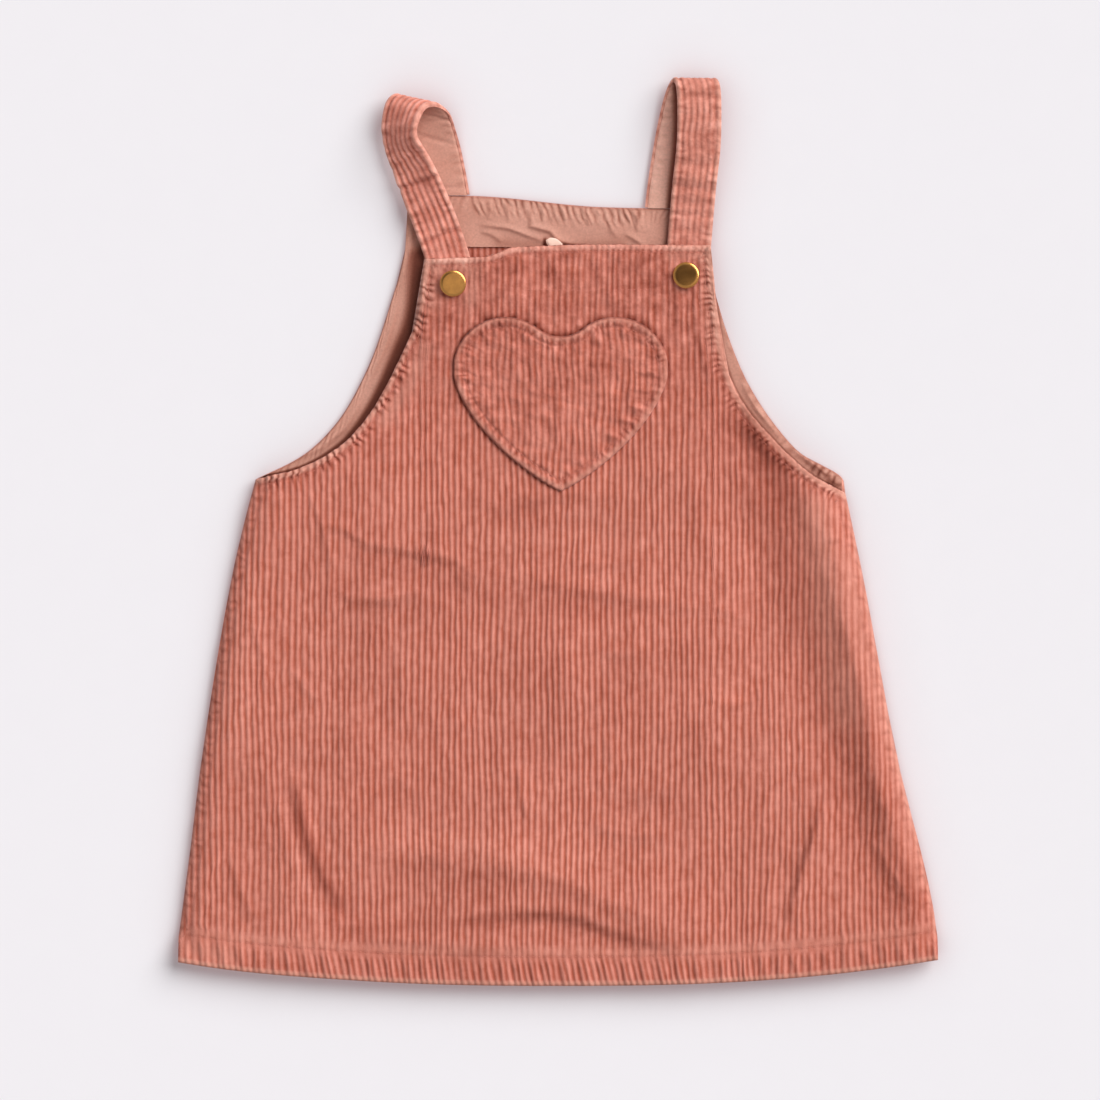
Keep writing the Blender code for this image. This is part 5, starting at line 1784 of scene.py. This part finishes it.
def strap_lining(side, rings, creases, lining):
    """The plain lining on a strap's inner side, a little narrower than the strap."""
    place, across, out, length = rings
    half = STRAP_WIDTH / 2 - STRAP_TURN_UNDER - 0.0001
    spread = np.linspace(-half, half, LINING_COLUMNS)
    away = half - np.abs(spread)
    rise = -cross_rise(place, length, spread, creases, False)
    rise += 0.00008 * drift(spread[None, :], length[:, None], 0.010, 0.012, 81)
    inner = -SEAM_GAP - LINING_WALL + rise + 0.0004 * (1 - ramp(away, 0.0, 0.0009))[None, :]
    outer = np.full(inner.shape, -SEAM_GAP)
    inner = np.minimum(inner, outer - 0.0002)
    top = front_run(place)
    order = np.argsort(place[top:, 1])
    front_x = np.interp(place[:, 1], place[top:, 1][order], place[top:, 0][order])
    apart = front_x[:, None] - STRAP_WIDTH / 2 - swept(place, across, out, spread, inner)[..., 0]
    # painted shadow of the front strap on the lining
    painted_shadow = LINING_PAINTED_SHADOW[side] * (1 - ramp(apart, *LINING_PAINTED_SHADOW_REACH))
    shade = 1 + LINING_PAINTED_LIGHT[side] - painted_shadow * (np.arange(len(place)) < top)[:, None]
    place = place.copy()
    place[0, 1] -= STRAP_LINING_TAIL
    pull = 0.2 * pulled(away, 0.006)
    fine, coarse = (swept(place, across, out, spread, offset) for offset in (inner, outer))
    return closed_shell(f"strap_lining_cloth_{side}", fine.swapaxes(0, 1), coarse.swapaxes(0, 1),
                        (4, 3), lining_material("plain_cotton", lining),
                        nap=(shade.T, 0.0), sewn=(length / LINING_PUCKER, pull[:, None]))


class PINAFORE_OT_stitching(bpy.types.Operator):
    """Rows of topstitching along the hem, the armholes, the neck, the facing and the heart"""

    bl_idname = "pinafore.stitching"
    bl_label = "Topstitching"

    def execute(self, context):
        cord = context.scene.pinafore_corduroy
        thread = thread_material("sewing_thread", cord)
        hem_x = np.linspace(-0.183, 0.183, 400)
        rows = {"hem_thread": [np.column_stack([hem_x, hem_y(hem_x) + HEM_ROW])]}
        rows["bib_thread"] = [
            inside_of(even_line(sampled(rim.edge)), rim.row)[THREAD_ENDS:-THREAD_ENDS]
            for rim in FRONT_RIMS[1:4]]
        rows["bib_thread"] += [even_line(path) for path in INNER_ROWS]
        for name, paths in rows.items():
            lines = []
            for path in paths:
                outer = front_surface(path[:, 0], path[:, 1])
                height = outer.rise + THREAD_ABOVE * WALE_RISE * outer.ridges
                lines.append(np.column_stack([path, height]))
            self.sew(name, lines, thread)
        path = inside_of(even_line(heart_outline()), HEART_ROW)
        height = front_surface(path[:, 0], path[:, 1]).rise
        height += WALE_RISE + SEAM_GAP + LINING_WALL - 0.5 * HEART_DIP + 0.2 * WALE_RISE
        self.sew("heart_thread", [np.column_stack([path, height])], thread)
        return {"FINISHED"}

    def sew(self, name, lines, thread):
        """One piece of thread, of a row of stitches along each line."""
        points, faces = [], []
        for n, line in enumerate(lines):
            more_points, more_faces = stitch_row(line, STITCH_SEED + n)
            start = len(points)
            points += more_points
            faces += [tuple(start + corner for corner in face) for face in more_faces]
        dressed(made_piece(name, points, faces, thread, {}), "corduroy")


class PINAFORE_OT_snaps(bpy.types.Operator):
    """Brass caps on the bib, flat inside a soft bevel"""

    bl_idname = "pinafore.snaps"
    bl_label = "Snaps"

    def execute(self, context):
        brass = brass_material("antique_brass", context.scene.pinafore_trim)
        for side in ("left", "right"):
            low, high = (np.array(corner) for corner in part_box(f"snap_cap_{side}"))
            tilt, turn = (math.radians(lean) for lean in CAP_LEAN[side])
            made = self.cap(f"snap_{side}", brass)
            made.rotation_euler = (tilt, turn, 0.0)
            room = CAP_RADIUS * math.tan(math.hypot(tilt, turn))
            middle = (low + high) / 2
            made.location = (middle[0], middle[1], low[2] + room)
            dressed(made, "brass", f"snap_cap_{side}")
            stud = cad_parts[f"snap_stud_{side}"]
            stud.data.materials.clear()
            stud.data.materials.append(brass)
        return {"FINISHED"}

    def cap(self, name, brass):
        """A round cap, turned from its section."""
        mesh = bmesh.new()
        ring = [mesh.verts.new((CAP_RADIUS - inset, 0.0, height)) for inset, height in CAP_PROFILE]
        edges = [mesh.edges.new(pair) for pair in zip(ring, ring[1:])]
        bmesh.ops.spin(mesh, geom=ring + edges, cent=(0, 0, 0), axis=(0, 0, 1),
                       angle=math.tau, steps=CAP_SEGMENTS)
        bmesh.ops.remove_doubles(mesh, verts=mesh.verts, dist=1e-7)
        bmesh.ops.recalc_face_normals(mesh, faces=mesh.faces)
        data = bpy.data.meshes.new(name)
        mesh.to_mesh(data)
        mesh.free()
        data.materials.append(brass)
        data.shade_smooth()
        return placed(name, data)


class PINAFORE_OT_label(bpy.types.Operator):
    """Blank woven label inside the back neck, curled in at one side"""

    bl_idname = "pinafore.label"
    bl_label = "Label"

    def execute(self, context):
        material = label_material("satin_ribbon", context.scene.pinafore_trim)
        across = np.linspace(0.0, LABEL_WIDTH, 25)
        along = np.linspace(0.0, LABEL_LENGTH, 41)
        u, v = np.meshgrid(across, along, indexing="ij")
        edge = np.minimum.reduce([u, LABEL_WIDTH - u, v + 0.0002])
        share = u / LABEL_WIDTH
        curl = LABEL_CURL * ramp(v, *LABEL_CURL_FROM) * (1 - ramp(v, *LABEL_CURL_TO))
        u = u + curl * (1 - share)
        v = v + 0.0010 * (1 - ramp(share, 0.0, 0.2)) - 0.0013 * np.sin(math.pi * share)
        bend = 0.0010 * bell(v, 0.0, 0.0050) + 0.0003 * bell(share, 0.0, 0.35)
        top = LABEL_HALF * np.sqrt(1 - np.clip(1 - edge / LABEL_EDGE, 0.0, 1.0) ** 2)
        x = LABEL_CORNER[0] + u * math.cos(LABEL_TURN) + v * math.sin(LABEL_TURN)
        y = LABEL_CORNER[1] + u * math.sin(LABEL_TURN) - v * math.cos(LABEL_TURN)
        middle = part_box("label_tab")[0][2] + LINING_WALL / 2
        fine = stacked(u.shape, x, y, middle + bend + top)
        coarse = stacked(u.shape, x, y, middle + bend - top)
        piece = closed_shell("label_cloth", fine, coarse, (1, 1), material)
        dressed(piece, "label", "label_tab")
        return {"FINISHED"}


class PINAFORE_OT_studio(bpy.types.Operator):
    """Plain pale floor, soft light from the upper right and a camera straight above"""

    bl_idname = "pinafore.studio"
    bl_label = "Studio"

    def execute(self, context):
        studio = context.scene.pinafore_studio
        scene = context.scene
        half = FLOOR_SIZE / 2
        data = bpy.data.meshes.new("floor")
        corners = [(-half, -half, 0), (half, -half, 0), (half, half, 0), (-half, half, 0)]
        data.from_pydata(corners, [], [(0, 1, 2, 3)])
        data.materials.append(floor_material("studio_floor", studio))
        floor = placed("floor", data)
        floor.location.z = -FLOOR_DROP

        key = bpy.data.lights.new("key", "SUN")
        key.energy = studio.key_strength
        key.angle = studio.key_softness
        key.color = KEY_COLOUR
        placed("key", key).rotation_euler = KEY_TURN

        self.surroundings(scene, studio)
        scene.view_settings.view_transform = "Standard"
        camera = bpy.data.cameras.new("camera")
        camera.sensor_width = SENSOR * 1000
        camera.lens = 1000 * SENSOR * (studio.camera_height - FRAME_PLANE) / FRAME_WIDTH
        camera.clip_end = CAMERA_REACH
        scene.camera = placed("camera", camera)
        scene.camera.location = (*FRAME_CENTRE, studio.camera_height)
        return {"FINISHED"}

    def surroundings(self, scene, studio):
        """Even light from all round, with two small things overhead that the brass mirrors."""
        world = bpy.data.worlds.new("studio")
        scene.world = world
        world.use_nodes = True
        sky = Nodes(world.node_tree)
        background = world.node_tree.nodes["Background"]
        background.inputs["Strength"].default_value = studio.fill_strength
        seen = sky.node("ShaderNodeTexCoord").outputs["Generated"]
        colour = SKY_COLOUR
        for towards, inner, outer, shown in OVERHEAD:
            aim = np.array(towards) / np.linalg.norm(towards)
            near = sky.node("ShaderNodeVectorMath", {0: seen, 1: aim}, operation="DOT_PRODUCT")
            outside, inside = (math.cos(math.radians(angle)) for angle in (outer, inner))
            share = sky.span(near.outputs["Value"], outside, inside, 0.0, 1.0)
            colour = sky.mix(share, colour, shown)
        sky.feed(background.inputs["Color"], colour)


PIECES = (
    PINAFORE_OT_front,
    PINAFORE_OT_back,
    PINAFORE_OT_facing,
    PINAFORE_OT_heart,
    PINAFORE_OT_straps,
    PINAFORE_OT_stitching,
    PINAFORE_OT_snaps,
    PINAFORE_OT_label,
    PINAFORE_OT_studio,
)


class PINAFORE_PT_sidebar(bpy.types.Panel):
    """Lists the dress's pieces and their settings"""

    bl_label = "Pinafore"
    bl_idname = "PINAFORE_PT_sidebar"
    bl_space_type = "VIEW_3D"
    bl_region_type = "UI"
    bl_category = "Pinafore"

    def draw(self, context):
        for operator in PIECES:
            self.layout.operator(operator.bl_idname)
        for name in SETTINGS:
            group = getattr(context.scene, name)
            box = self.layout.box()
            for key in group.__annotations__:
                box.prop(group, key)


SETTINGS = {
    "pinafore_corduroy": CorduroySettings,
    "pinafore_lining": LiningSettings,
    "pinafore_trim": TrimSettings,
    "pinafore_studio": StudioSettings,
}


def register():
    """Adds the settings, the operators and the panel."""
    for name, group in SETTINGS.items():
        bpy.utils.register_class(group)
        setattr(bpy.types.Scene, name, bpy.props.PointerProperty(type=group))
    for made in (*PIECES, PINAFORE_PT_sidebar):
        bpy.utils.register_class(made)


def unregister():
    """Takes them all out again."""
    for made in (PINAFORE_PT_sidebar, *reversed(PIECES)):
        bpy.utils.unregister_class(made)
    for name, group in reversed(SETTINGS.items()):
        delattr(bpy.types.Scene, name)
        bpy.utils.unregister_class(group)


def main():
    """Makes every piece in order."""
    register()
    bpy.ops.pinafore.front()
    bpy.ops.pinafore.back()
    bpy.ops.pinafore.facing()
    bpy.ops.pinafore.heart()
    bpy.ops.pinafore.straps()
    bpy.ops.pinafore.stitching()
    bpy.ops.pinafore.snaps()
    bpy.ops.pinafore.label()
    bpy.ops.pinafore.studio()


if __name__ == "__main__":
    main()
